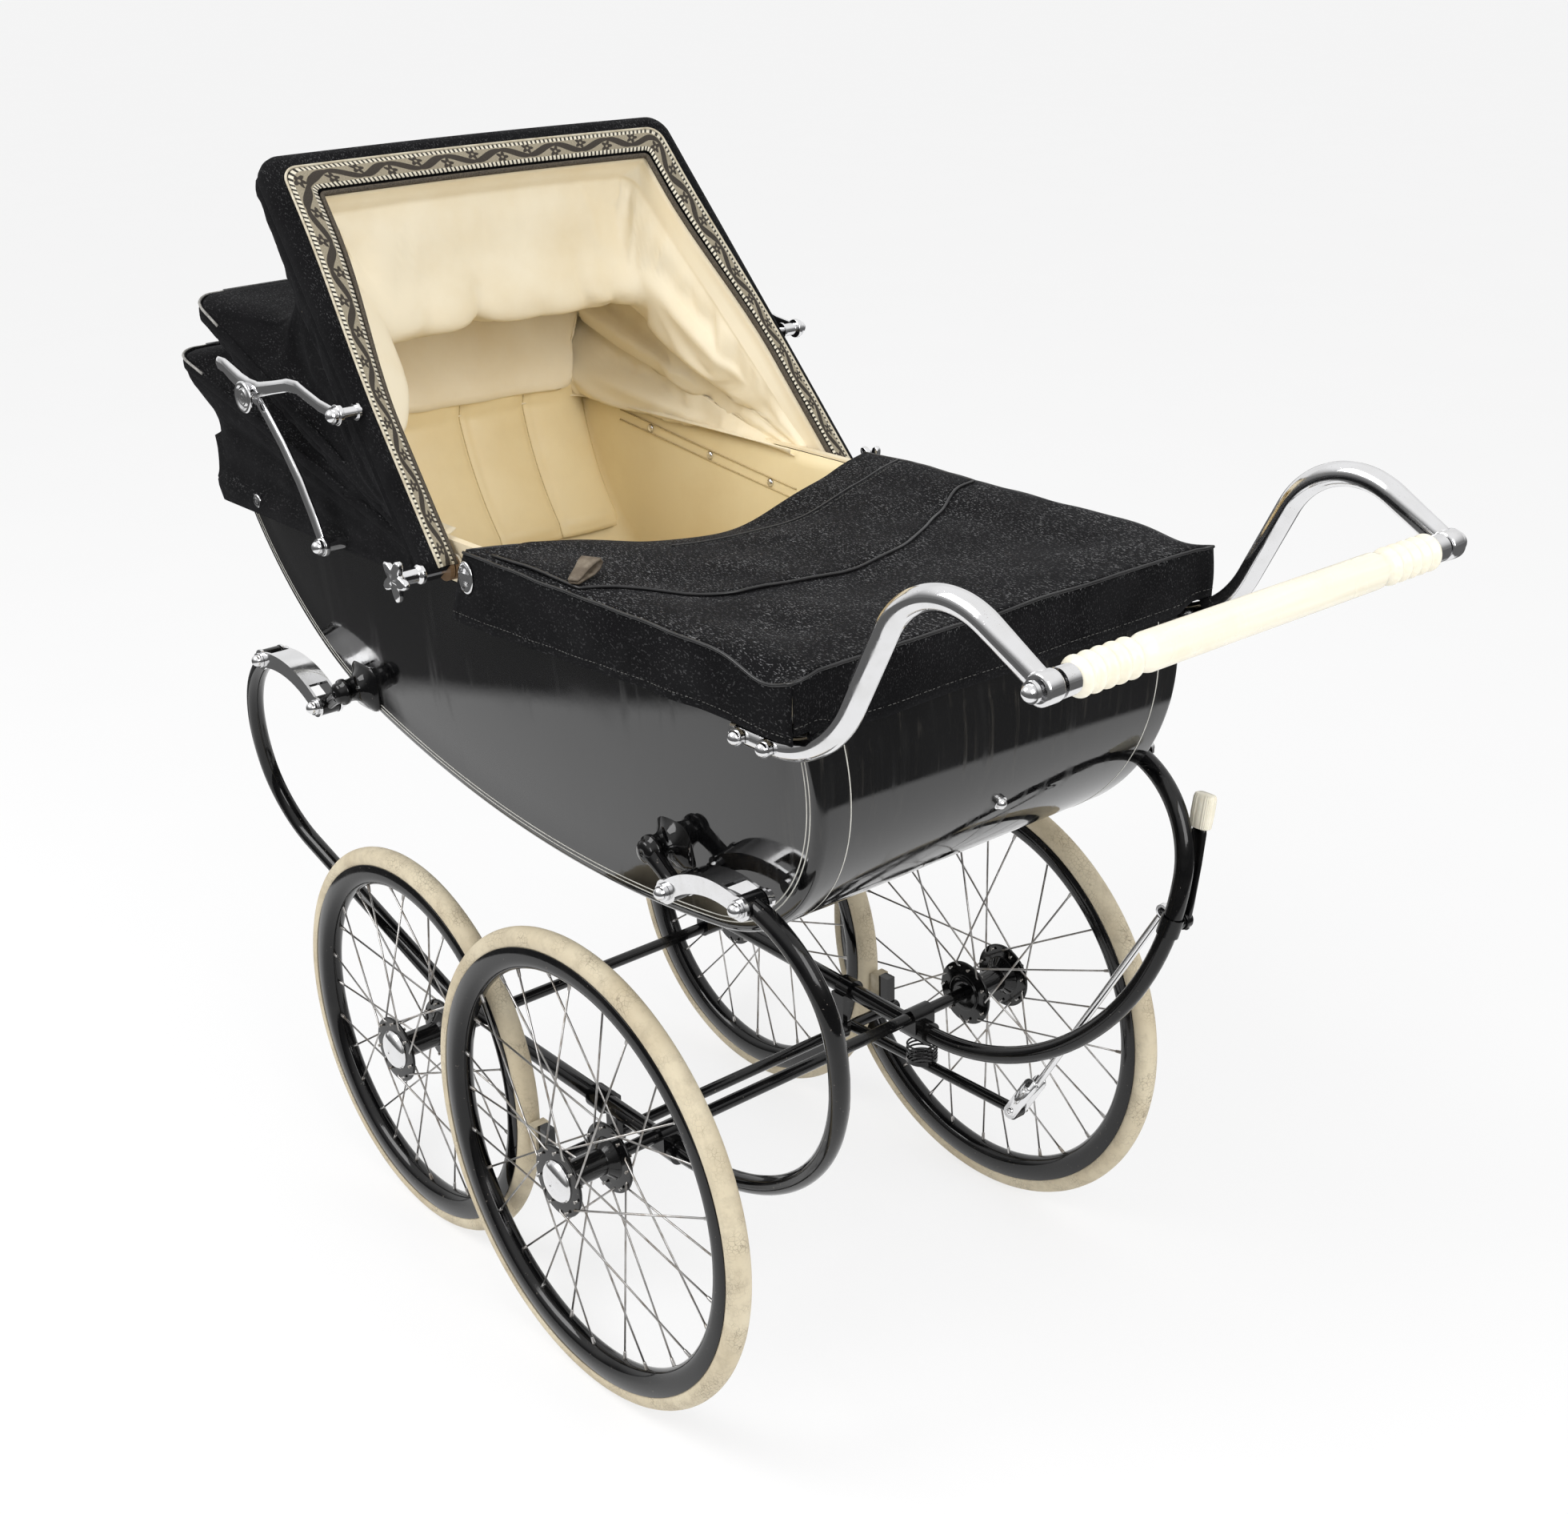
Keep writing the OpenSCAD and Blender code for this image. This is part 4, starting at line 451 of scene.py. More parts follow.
def lacquer_look():
    """Gloss coach paint: deep black, a faint ripple, smears, and rain streaks that dull the gloss."""
    look = Look("black_lacquer", (0.0025, 0.0025, 0.0028), 0.05, Specular_IOR_Level=0.8)
    streaks = look.span(look.noise(1.0, 3.0, look.stretched((70, 70, 5))), 0.52, 0.72)
    smears = look.span(look.noise(9.0, 5.0), 0.45, 0.75)
    specks = look.span(look.noise(900.0, 2.0), 0.68, 0.76)
    dull = look.most(look.times(streaks, 0.5), look.times(smears, 0.35))
    colour = look.blend(dull, look.colour, (0.012, 0.012, 0.012))
    colour = look.blend(look.times(specks, 0.25), colour, (0.12, 0.12, 0.115))
    along = put(look.tree, "ShaderNodeSeparateXYZ", {"Vector": look.where})
    end_panel = look.span(along.outputs["X"], 0.315, 0.335)
    runs = look.span(look.noise(1.0, 4.0, look.stretched((90, 90, 4)), 0.7), 0.55, 0.66)
    below = look.span(along.outputs["Z"], 0.62, 0.80)
    runs = look.times(look.times(runs, end_panel), below)
    look.set("Roughness", look.span(look.most(dull, runs), 0.0, 1.0, 0.04, 0.36))
    look.set("Base Color", look.blend(runs, colour, (0.022, 0.020, 0.017)))
    look.set("Normal", look.bump(look.noise(120.0, 2.0), 0.015, 0.001))
    return look.material


def enamel_look():
    """Brushed black enamel on tube and castings, chipped to grey and dusty."""
    look = Look("black_enamel", (0.0022, 0.0022, 0.0025), 0.1, Specular_IOR_Level=0.4)
    chips = look.span(look.noise(260.0, 3.0), 0.70, 0.73)
    dust = look.span(look.noise(24.0, 6.0), 0.5, 0.85)
    colour = look.blend(look.times(dust, 0.14), look.colour, (0.06, 0.055, 0.05))
    look.set("Base Color", look.blend(look.times(chips, 0.6), colour, (0.16, 0.14, 0.12)))
    look.set("Roughness", look.span(dust, 0.0, 1.0, 0.07, 0.22))
    look.set("Normal", look.bump(look.noise(420.0, 3.0), 0.05, 0.0006))
    return look.material


def chrome_look():
    """Old chrome plate: bright, with pits, haze and brown freckles."""
    look = Look("chrome", (0.80, 0.80, 0.81), 0.08, Metallic=1.0)
    pits = look.span(look.noise(620.0, 2.0), 0.67, 0.72)
    patches = look.span(look.noise(28.0, 4.0), 0.5, 0.7)
    freckles = look.times(pits, patches)
    haze = look.span(look.noise(60.0, 5.0), 0.4, 0.8)
    colour = look.blend(look.times(haze, 0.25), look.colour, (0.62, 0.61, 0.58))
    look.set("Base Color", look.blend(look.times(freckles, 0.9), colour, (0.16, 0.10, 0.06)))
    look.set("Roughness", look.span(look.most(freckles, look.times(haze, 0.35)), 0, 1, 0.05, 0.5))
    look.set("Normal", look.bump(pits, 0.08, -0.0004))
    return look.material


def steel_look():
    """Dull spoke wire with a brown bloom."""
    look = Look("steel", (0.42, 0.41, 0.40), 0.34, Metallic=1.0)
    bloom = look.span(look.noise(70.0, 5.0), 0.45, 0.75)
    look.set("Base Color", look.blend(bloom, (0.46, 0.45, 0.44), (0.25, 0.21, 0.17)))
    look.set("Roughness", look.span(bloom, 0.0, 1.0, 0.28, 0.55))
    return look.material


def tyre_look():
    """Aged cream rubber: crazed with fine cracks, grey with dirt on the tread."""
    look = Look("tyre_rubber", (0.60, 0.52, 0.37), 0.75)
    crack_cells = look.cells(230.0, feature="DISTANCE_TO_EDGE")
    cracks = look.span(crack_cells, 0.0, 0.06, 1.0, 0.0)
    where = look.span(look.noise(30.0, 3.0), 0.45, 0.65)
    cracks = look.times(cracks, where)
    dirt = look.span(look.noise(45.0, 8.0, rough=0.7), 0.48, 0.72)
    pale = look.span(look.noise(11.0, 3.0), 0.35, 0.7)
    colour = look.blend(pale, (0.53, 0.45, 0.31), (0.66, 0.585, 0.43))
    colour = look.blend(look.times(dirt, 0.45), colour, (0.30, 0.25, 0.18))
    look.set("Base Color", look.blend(look.times(cracks, 0.7), colour, (0.13, 0.10, 0.07)))
    look.set("Roughness", look.span(dirt, 0.0, 1.0, 0.62, 0.9))
    height = look.minus(look.noise(160.0, 5.0), cracks)
    look.set("Normal", look.bump(height, 0.35, 0.0012))
    return look.material


def ivory_look():
    """Turned cream celluloid, slightly stained, with fine streaks along the bar."""
    look = Look("cream_celluloid", (0.86, 0.79, 0.60), 0.32, Subsurface_Weight=0.08,
                Subsurface_Radius=(0.004, 0.003, 0.002))
    streaks = look.noise(1.0, 5.0, look.stretched((240, 14, 240)))
    stains = look.span(look.noise(26.0, 6.0), 0.5, 0.8)
    colour = look.blend(look.span(streaks, 0.3, 0.75), (0.78, 0.735, 0.60), (0.83, 0.79, 0.665))
    look.set("Base Color", look.blend(look.times(stains, 0.25), colour, (0.70, 0.58, 0.38)))
    look.set("Roughness", look.span(stains, 0.0, 1.0, 0.26, 0.45))
    look.set("Normal", look.bump(streaks, 0.04, 0.0008))
    return look.material


def black_cloth_look(name, flecks):
    """Black melton hood cloth: a fine weave, soft nap and pale lint."""
    look = Look(name, (0.006, 0.006, 0.0065), 0.92, Specular_IOR_Level=0.1, Sheen_Weight=0.035,
                Sheen_Roughness=0.4, Sheen_Tint=(0.5, 0.5, 0.55, 1.0))
    warp = look.noise(1.0, 2.0, look.stretched((2600, 700, 1500)))
    weft = look.noise(1.0, 2.0, look.stretched((700, 2600, 1500)))
    weave = look.plus(warp, weft)
    shade = look.span(look.noise(16.0, 5.0), 0.35, 0.75)
    colour = look.blend(shade, (0.003, 0.003, 0.0035), (0.0075, 0.0075, 0.0082))
    lint = look.span(look.noise(1.0, 2.0, look.stretched((300, 900, 500))), 0.585, 0.69)
    drift = look.span(look.noise(13.0, 4.0), 0.30, 0.60, 0.25, 1.0)
    normal = put(look.tree, "ShaderNodeNewGeometry").outputs["Normal"]
    facing = put(look.tree, "ShaderNodeSeparateXYZ", {"Vector": normal})
    settled_on = look.span(facing.outputs["Z"], 0.2, 0.8, 0.14, 0.8)
    lint = look.times(look.times(lint, drift), look.times(settled_on, flecks))
    look.set("Base Color", look.blend(lint, colour, (0.27, 0.27, 0.275)))
    look.set("Normal", look.bump(weave, 0.35, 0.0006))
    return look.material


def leathercloth_look(name, light, deep, grain):
    """Cream coated cloth: pebble grain, handling stains and a slight sheen."""
    look = Look(name, light, 0.55, Coat_Weight=0.06, Coat_Roughness=0.4)
    stains = look.span(look.noise(7.0, 6.0, rough=0.6), 0.42, 0.75)
    pebbles = look.cells(grain)
    look.set("Base Color", look.blend(stains, light, deep))
    look.set("Roughness", look.span(look.noise(40.0, 4.0), 0.3, 0.8, 0.45, 0.65))
    height = look.plus(pebbles, look.noise(grain * 2.0, 3.0))
    look.set("Normal", look.bump(height, 0.10, 0.0006))
    return look.material


def cord_look(name, dark, light, pitch):
    """Twisted cord: slanting strands in two tones."""
    look = Look(name, dark, 0.8)
    strands = look.noise(1.0, 2.0, look.stretched((pitch, pitch, pitch)))
    look.set("Base Color", look.blend(look.span(strands, 0.4, 0.6), dark, light))
    look.set("Normal", look.bump(strands, 0.6, 0.0012))
    return look.material


def leather_look(name, colour, worn):
    """Brown leather, rubbed pale on its high spots."""
    look = Look(name, colour, 0.6)
    rub = look.span(look.noise(90.0, 6.0), 0.42, 0.7)
    look.set("Base Color", look.blend(rub, colour, worn))
    look.set("Normal", look.bump(look.cells(700.0), 0.3, 0.0008))
    return look.material


def plain_look(name, colour, roughness, grain, tone):
    """A painted or stained surface with a little unevenness."""
    look = Look(name, colour, roughness)
    spread = look.span(look.noise(grain, 5.0), 0.35, 0.7)
    look.set("Base Color", look.blend(spread, colour, tone))
    look.set("Roughness", look.span(spread, 0.0, 1.0, roughness * 0.8, min(1.0, roughness * 1.3)))
    look.set("Normal", look.bump(look.noise(grain * 12, 3.0), 0.08, 0.0005))
    return look.material


def braid_look():
    """Woven trim: a brown scroll with flowers on a flax ground, and laddered borders."""
    look = Look("woven_braid", (0.38, 0.34, 0.26), 0.8)
    uv = put(look.tree, "ShaderNodeTexCoord").outputs["UV"]
    parts = put(look.tree, "ShaderNodeSeparateXYZ", {"Vector": uv})
    u, v = parts.outputs["X"], parts.outputs["Y"]
    turn = look.times(u, 2 * math.pi)
    line = look.math("MULTIPLY_ADD", look.math("SINE", turn), 0.19)
    line.node.inputs[2].default_value = 0.5
    off = look.math("ABSOLUTE", look.minus(v, line))
    swell = look.times(look.math("ABSOLUTE", look.math("COSINE", turn)), 0.09)
    scroll = look.span(look.minus(off, swell), 0.065, 0.085, 1.0, 0.0)
    place = look.math("FRACT", u)
    marks = scroll
    for centre, row in ((0.25, 0.36), (0.75, 0.64)):
        du = look.times(look.minus(place, centre), 2.6)
        dv = look.minus(v, row)
        far = look.math("SQRT", look.plus(look.times(du, du), look.times(dv, dv)))
        angle = look.math("ARCTAN2", dv, du)
        petal = look.times(look.math("COSINE", look.times(angle, 5.0)), 0.07)
        inner = look.minus(far, petal)
        flower = look.span(inner, 0.20, 0.23, 1.0, 0.0)
        eye = look.span(far, 0.045, 0.065)
        marks = look.most(marks, look.times(flower, eye))
    weave = put(look.tree, "ShaderNodeMapping", {"Vector": uv, "Scale": (40, 130, 1)}).outputs[0]
    thread = look.noise(1.0, 1.0, weave)
    ground = look.blend(look.span(thread, 0.35, 0.65), (0.20, 0.17, 0.115), (0.40, 0.355, 0.26))
    brown = look.blend(look.span(thread, 0.35, 0.65), (0.016, 0.012, 0.009), (0.05, 0.038, 0.026))
    colour = look.blend(marks, ground, brown)
    rungs = look.span(look.math("SINE", look.times(turn, 13.0)), -0.35, -0.05)
    ladder = look.blend(rungs, (0.022, 0.018, 0.013), (0.74, 0.69, 0.56))
    border = look.math("ABSOLUTE", look.minus(v, 0.5))
    border = look.span(border, 0.325, 0.335)
    look.set("Base Color", look.blend(border, colour, ladder))
    relief = look.plus(look.times(marks, 0.6), thread)
    look.set("Normal", look.bump(relief, 0.5, 0.0008))
    return look.material


LACQUER = lacquer_look()
ENAMEL = enamel_look()
CHROME = chrome_look()
STEEL = steel_look()
TYRE = tyre_look()
IVORY = ivory_look()
HOOD_CLOTH = black_cloth_look("hood_cloth", 0.35)
APRON_CLOTH = black_cloth_look("apron_cloth", 1.0)
PIPING = plain_look("black_piping", (0.007, 0.007, 0.0075), 0.36, 60.0, (0.014, 0.014, 0.015))
LINING = leathercloth_look("cream_leathercloth", (0.88, 0.75, 0.47), (0.80, 0.65, 0.37), 900.0)
HOOD_LINING = leathercloth_look("cream_cloth", (0.88, 0.79, 0.60), (0.81, 0.69, 0.47), 1400.0)
TRIM = leathercloth_look("rim_leathercloth", (0.80, 0.70, 0.50), (0.66, 0.54, 0.36), 900.0)
CREAM_PIPING = plain_look("cream_piping", (0.60, 0.55, 0.43), 0.5, 120.0, (0.42, 0.36, 0.25))
# Pale line paint: a real pinstripe on the wrap panel, and painted reflection where it runs along the side
# edges.
EDGE_GLINT_AND_PINSTRIPE = plain_look("painted_edge_glint_and_pinstripe", (0.60, 0.59, 0.54), 0.25, 90.0, (0.46, 0.45, 0.41))
SEAM = plain_look("seam_thread", (0.60, 0.48, 0.26), 0.7, 400.0, (0.46, 0.35, 0.18))
BRAID = braid_look()
CORD = cord_look("brown_cord", (0.035, 0.027, 0.019), (0.10, 0.08, 0.055), 900.0)
TAB = leather_look("brown_leather", (0.10, 0.075, 0.05), (0.20, 0.165, 0.12))
WOOD = plain_look("bow_ash", (0.20, 0.12, 0.06), 0.5, 30.0, (0.13, 0.075, 0.035))
BOARD = plain_look("floor_board", (0.36, 0.25, 0.14), 0.6, 25.0, (0.27, 0.18, 0.09))
RUBBER = plain_look("brake_rubber", (0.52, 0.46, 0.34), 0.8, 80.0, (0.36, 0.30, 0.21))
WELT = plain_look("worn_welt", (0.05, 0.05, 0.051), 0.6, 200.0, (0.13, 0.13, 0.13))
STITCH = plain_look("grey_thread", (0.12, 0.118, 0.11), 0.8, 300.0, (0.06, 0.06, 0.057))
THREAD = plain_look("pale_thread", (0.33, 0.32, 0.30), 0.8, 300.0, (0.18, 0.175, 0.165))

CAD_LOOKS = {
    "side_frames": ENAMEL, "axles": ENAMEL, "chassis_clamps": ENAMEL, "spring_bolts": CHROME,
    "body_brackets": ENAMEL, "rim_trim": TRIM, "floor_board": BOARD, "handle_fittings": CHROME,
    "body_studs": CHROME, "hood_mid_bow": WOOD, "hood_rear_bow": WOOD, "bow_studs": CHROME,
    "brake_bar": ENAMEL, "brake_shoes": RUBBER, "brake_rod": CHROME, "brake_lever": ENAMEL,
    "brake_lever_grip": IVORY, "brake_spring": ENAMEL, "handle_arms": CHROME, "handle_grip": IVORY,
    "body_shell": LACQUER, "lining": LINING, "mattress": LINING, "back_pad": LINING,
    "hood_front_bow": HOOD_CLOTH, "hood_cover": HOOD_CLOTH, "hood_lining": HOOD_LINING, "apron": APRON_CLOTH,
}
for side in ("left", "right"):
    for end in ("hood", "handle"):
        CAD_LOOKS["tyre_%s_%s" % (end, side)] = TYRE
        CAD_LOOKS["rim_%s_%s" % (end, side)] = ENAMEL
        CAD_LOOKS["spokes_%s_%s" % (end, side)] = STEEL
        CAD_LOOKS["hub_%s_%s" % (end, side)] = ENAMEL
        CAD_LOOKS["hub_cap_%s_%s" % (end, side)] = CHROME
        CAD_LOOKS["shackle_%s_%s" % (end, side)] = CHROME
    for kind in ("thumbscrew", "stay_lower", "stay_upper", "turn_button"):
        CAD_LOOKS["%s_%s" % (kind, side)] = CHROME
for name, look in CAD_LOOKS.items():
    NODES[name].data.materials.clear()
    NODES[name].data.materials.append(look)


# Wheels

def wheel(end, side, k):
    """A wheel: tyre, rolled rim, laced spokes with nipples, flanged hub and domed cap."""
    x, y, r = WHEELS[end]
    centre = Vector((x, k * y, r))
    axis = (0, k, 0)
    tag = "%s_%s" % (end, side)

    def fit(part, solid, look, slot):
        single(solid, "%s_%s_visual" % (part, tag), look, "wheel_" + tag, slot, "%s_%s" % (part, tag))

    tread = [(r - TYRE_R + out, across) for out, across in circle(TYRE_R, 28)]
    fit("tyre", lathe(tread, centre, axis, WHEEL_STEPS), TYRE, "tyre_rubber")

    half = RIM_W / 2
    seat = math.sqrt(TYRE_R ** 2 - (half - RIM_WALL) ** 2)
    rim_top = r - TYRE_R - seat - RIM_GAP
    rim_in = rim_top - RIM_DEPTH
    mid = rim_in + half
    section = [(rim_top, 0.4 - half)]
    section += [(mid - half * math.sin(a), -half * math.cos(a)) for a in evenly(0.0, math.pi, 16)]
    section += [(rim_top, half - 0.4), (rim_top + 0.5, half - RIM_WALL / 2), (rim_top, half - RIM_WALL),
                (mid, half - RIM_WALL), (mid, RIM_WALL - half), (rim_top, RIM_WALL - half),
                (rim_top + 0.5, RIM_WALL / 2 - half)]
    fit("rim", lathe(section, centre, axis, WHEEL_STEPS), ENAMEL, "black_enamel")

    def place(angle, far, across):
        return centre + Vector((far * math.cos(angle), k * across, far * math.sin(angle)))

    wires = Parts()
    count = SPOKES // 2
    for i in range(count):
        way = 1 if i % 2 == 0 else -1
        over = way * (FLANGE_T / 2 + SPOKE_R)
        for s in (-1, 1):
            a = math.radians(i * 360 / count + (180 / count if s > 0 else 0))
            lead = a + way * math.radians(SPOKE_LEAD)
            hole, bend, foot, head = (place(a, SPOKE_RING, s * (FLANGE_OFF + over * share))
                                      for share in (-1.6, 0.4, 1.0, -1.9))
            tip = place(lead, rim_in + RIM_WALL, s * 2 * SPOKE_R)
            along = (tip - foot).normalized()
            neck = tip - along * NIPPLE_LEN
            wires.take(*tube([hole, bend, foot + along * 2.0, tip], SPOKE_R, 8))
            wires.take(*tube([neck, neck + along, tip - along * 2, tip],
                             [SPOKE_R * 1.2, NIPPLE_R * 0.8, NIPPLE_R, NIPPLE_R], 8))
            wires.take(*tube([hole, head], SPOKE_R * 1.7, 8))
    fit("spokes", (wires.points, wires.faces), STEEL, "steel")

    f, t = FLANGE_OFF, FLANGE_T / 2
    neck, flare, bore = BARREL_FLARE_R, BARREL_FLARE_R + 2, AXLE_R + 0.1
    shape = [(bore, -f - 3 * t), (neck, -f - 3 * t), (neck, -f - t), (FLANGE_R, -f - t), (FLANGE_R, t - f),
             (flare, t - f), (BARREL_R, t - f + 9), (BARREL_R, f - t - 9), (flare, f - t), (FLANGE_R, f - t),
             (FLANGE_R, f + t), (bore, f + t)]
    fit("hub", lathe(rounded(shape, 1.2), centre, axis, 64), ENAMEL, "black_enamel")

    face = f + t
    dome = [(0.01, face + CAP_H)]
    for a in map(math.radians, range(12, 90, 6)):
        dome.append((CAP_R * math.sin(a), face + CAP_H * math.cos(a) ** 0.8))
    dome += [(CAP_R + 0.6, face + 1.2), (CAP_R + 0.6, face), (0.01, face)]
    fit("hub_cap", lathe(dome, centre, axis, 64), CHROME, "chrome")


for end in WHEELS:
    for side, k in SIDES:
        wheel(end, side, k)


# Chassis

def side_frames():
    """The two bent side tubes, smooth from curl to curl, with an eye at each end."""
    hood = run_points(HOOD_RUN, (WHEELBASE / 2, HOOD_V, RAIL_TILT))
    handle = run_points(HANDLE_RUN, (WHEELBASE / 2, 0, -RAIL_TILT))
    line = [(-p[0], p[1]) for p in reversed(hood)] + [p[:2] for p in handle]
    made = Parts()
    for k in (-1, 1):
        path = [(x, k * (RAIL_Y + v * math.sin(LEAN)), RAIL_Z + v * math.cos(LEAN)) for x, v in line]
        made.take(*tube(path, TUBE_R, 24))
        for tip in (path[0], path[-1]):
            made.take(*lathe(ring(*EYE, 1.0), tip, ACROSS_Y, 32))
    made.piece("side_frames_visual", ENAMEL, "chassis", "black_enamel", "side_frames")


side_frames()


# Body

def outline(inset):
    """The side outline of the body, inset from its skin, from the hood end to the handle end."""
    r = HOOD_R - inset
    first = math.pi + math.asin((HOOD_C[1] - RIM_Z) / r)
    made = []
    for c, radius, a0, a1, parts in ((HOOD_C, r, first, 2 * math.pi + HOOD_JOINT, 44),
                                     (BOTTOM_C, BOTTOM_R - inset, HOOD_JOINT, HANDLE_JOINT, 44),
                                     (HANDLE_C, HANDLE_R - inset, HANDLE_JOINT, HANDLE_LEAN, 52)):
        arc = [(c[0] + radius * math.cos(a), c[1] + radius * math.sin(a)) for a in evenly(a0, a1, parts)]
        made += arc[1:] if made else arc
    x, z = made[-1]
    return made + between((x, z), (x - (RIM_Z - z) * math.tan(HANDLE_LEAN), RIM_Z), 8)[1:]


def side_at(z, inset=0.0):
    return HALF_W + (z - BODY_LOW_Z) * math.tan(FLARE) - inset / math.cos(FLARE)


def tub_points(inset, corner, bulge):
    """Rows of points over the body skin: wrap panel, rounded edges and flared sides."""
    cross, arc, rise, band = 10, 6, 16, 26
    middle = outline(inset)
    edges = [(a, outline(inset + corner * (1 - math.cos(a)))) for a in evenly(0.0, math.pi / 2, arc)[1:]]
    borders = [outline(inset + corner + t * band) for t in (0.12, 0.3, 0.6, 1.0)]
    last = len(middle) - 1
    rim_line = evenly(borders[-1][0][0], borders[-1][-1][0], last)
    rows = []
    for i, (x, z) in enumerate(middle):
        u = i / last
        wide = side_at(z, inset) - corner
        half = [(x, wide * j / cross, z) for j in range(cross + 1)]
        for a, line in edges:
            x, z = line[i]
            half.append((x, side_at(z, inset) - corner * (1 - math.sin(a)), z))
        for line in borders:
            x, z = line[i]
            half.append((x, side_at(z, inset), z))
        foot = borders[-1][i]
        for v in evenly(0.0, 1.0, rise)[1:]:
            x, z = mixed(foot[0], rim_line[i], v), mixed(foot[1], RIM_Z, v)
            swell = bulge * math.sin(math.pi * v) * math.sin(math.pi * u) ** 0.5 if 0 < u < 1 else 0.0
            half.append((x, side_at(z, inset) + swell, z))
        rows.append([(x, -y, z) for x, y, z in reversed(half[1:])] + half)
    return rows


def skin(name, rows, material, thick, node, inside=False):
    """A wall of even thickness behind a skin's outer face, or behind its inner face for a lining."""
    faces = grid_faces(len(rows), len(rows[0]))
    if inside:
        faces = [tuple(reversed(f)) for f in faces]
    piece = add_mesh(name, [p for row in rows for p in row], faces, material, "pram_body")
    solid = piece.modifiers.new("wall", "SOLIDIFY")
    solid.thickness = thick * MM
    solid.offset = -1
    dress(piece, node)


def body_shell():
    """The painted tub, a double pale line along the side edges that is painted reflection of the rounded
    edge bead, and the pinstripe on the wrap panel.
    """
    shell = tub_points(0.0, EDGE_R, SIDE_BULGE)
    skin("body_shell_visual", shell, LACQUER, 5.0, "body_shell")
    lines = Parts()
    paint, wide, from_edge = 0.25, 1.2, 34.0
    # Painted reflection: two pale strips just inside the side edges stand in for the glint on the rounded
    # edge bead.
    for depth in (12.0, 16.4):
        for k in (-1, 1):
            a, b = ([(x, k * side_at(z), z) for x, z in outline(d)] for d in (depth, depth + wide))
            lines.take(*ribbon(a, b, [(0, k * paint, 0)] * len(a)))
    # The pinstripe on the wrap panel, a real painted line.
    wrap = outline(0.0)
    lift = [(q[0] - p[0], 0, q[1] - p[1]) for p, q in zip(wrap, outline(-paint))]
    for k in (-1, 1):
        a, b = ([(x, k * (side_at(z) - y), z) for x, z in wrap] for y in (from_edge, from_edge + wide))
        lines.take(*ribbon(a, b, lift))
    lines.piece("painted_edge_glints_and_pinstripe", EDGE_GLINT_AND_PINSTRIPE, "pram_body", "cream_leathercloth")


body_shell()


# Suspension

def brackets():
    """Flared castings on the body sides: a squared foot, a waist, a collar and an arm to the bolt."""
    made = Parts()
    for link, pin_y, turn in (((-310.66, 605.08), 252.85, 1), ((317.99, 601.55), 251.61, -1)):
        foot = (link[0] + turn * 38.0, link[1] + 24.0)
        base = side_at(foot[1]) - 1.0
        tip = pin_y + 9.0 - base
        shape = [(0.01, 0), (28, 0), (28, 3), (24, 5.5), (18.5, 9.5), (14.8, 14), (12.8, 19)]
        shape += [(r, tip + h) for r, h in ((12.2, -14), (14.2, -13), (14.6, -10.5), (14.2, -8), (11.6, -7),
                                            (11.2, -2.5), (9.5, -0.6), (5.0, 0.6), (0.01, 0.9))]
        for k in (-1, 1):
            points, faces = lathe(shape, (0, 0, 0), (0, k, 0), 48)
            squared = []
            for p in points:
                a = math.atan2(p.z, p.x)
                square = min(1.22, 1 / max(abs(math.cos(a)), abs(math.sin(a)))) * 0.94
                f = mixed(square, 1.0, smooth(abs(p.y) / 13.0))
                squared.append((foot[0] + p.x * f, k * base + p.y, foot[1] + p.z * f))
            made.take(squared, faces)
            pin = (link[0], k * pin_y, link[1])
            arm = [10.2 - 2.2 * math.sin(math.pi * i / 10) for i in range(9)]
            made.take(*tube(between((foot[0], k * pin_y, foot[1]), pin, 8), arm, 24))
            made.take(*lathe(ring(*EYE, 1.4), pin, ACROSS_Y, 32))
    made.piece("body_brackets_visual", ENAMEL, "pram_body", "black_enamel", "body_brackets")


brackets()


# Brake

def clevis():
    """The flat link between the brake arm's end and the rod, with its two rivets."""
    low, high = Vector((335.0, 182.0, 194.67)), Vector((482.3, 241.94, 471.22))
    along = (high - low).normalized()
    flat = along.cross(Vector(ACROSS_Y)).normalized()
    out = flat.cross(along)
    plate_r, plate_t, reach, gap = 8.0, 2.6, 44.0, 7.0
    rim = []
    for base, turn in ((0.0, math.pi / 2), (reach, -math.pi / 2)):
        for a in evenly(turn, turn + math.pi, 12):
            rim.append(low + along * (base + plate_r * math.cos(a)) + flat * plate_r * math.sin(a))
    n = len(rim)
    made = Parts()
    for off in (gap, -gap - plate_t):
        points = [p + out * h for h in (off, off + plate_t) for p in rim]
        caps = [tuple(reversed(range(n))), tuple(range(n, 2 * n))]
        made.take(points, grid_faces(2, n, round_cols=True) + caps)
    rivet = [(0.01, -11.4), (3.2, -11.2), (4.4, -9.6), (4.4, 9.6), (3.2, 11.2), (0.01, 11.4)]
    for base in (0.0, reach - 6.0):
        made.take(*lathe(rivet, low + along * base, out, 24))
    made.piece("brake_clevis", CHROME, "brake_rod", "chrome")


def lofted(rings, at, along, cols=48, flutes=0):
    """Rounded flat sections (place, half width, half thickness) stacked on a line square to x."""
    ex, ez = Vector((1, 0, 0)), Vector(along).normalized()
    ey = ez.cross(ex)
    points = []
    for place, wide, thick in rings:
        for j in range(cols):
            a = 2 * math.pi * j / cols
            f = 1 + (0.035 * math.cos(flutes * a) if flutes else 0.0)
            u, v = (math.copysign(abs(c) ** 0.55, c) * f for c in (math.cos(a), math.sin(a)))
            points.append(Vector(at) + ez * place + ex * u * wide + ey * v * thick)
    return points, grid_faces(len(rings), cols, round_cols=True)


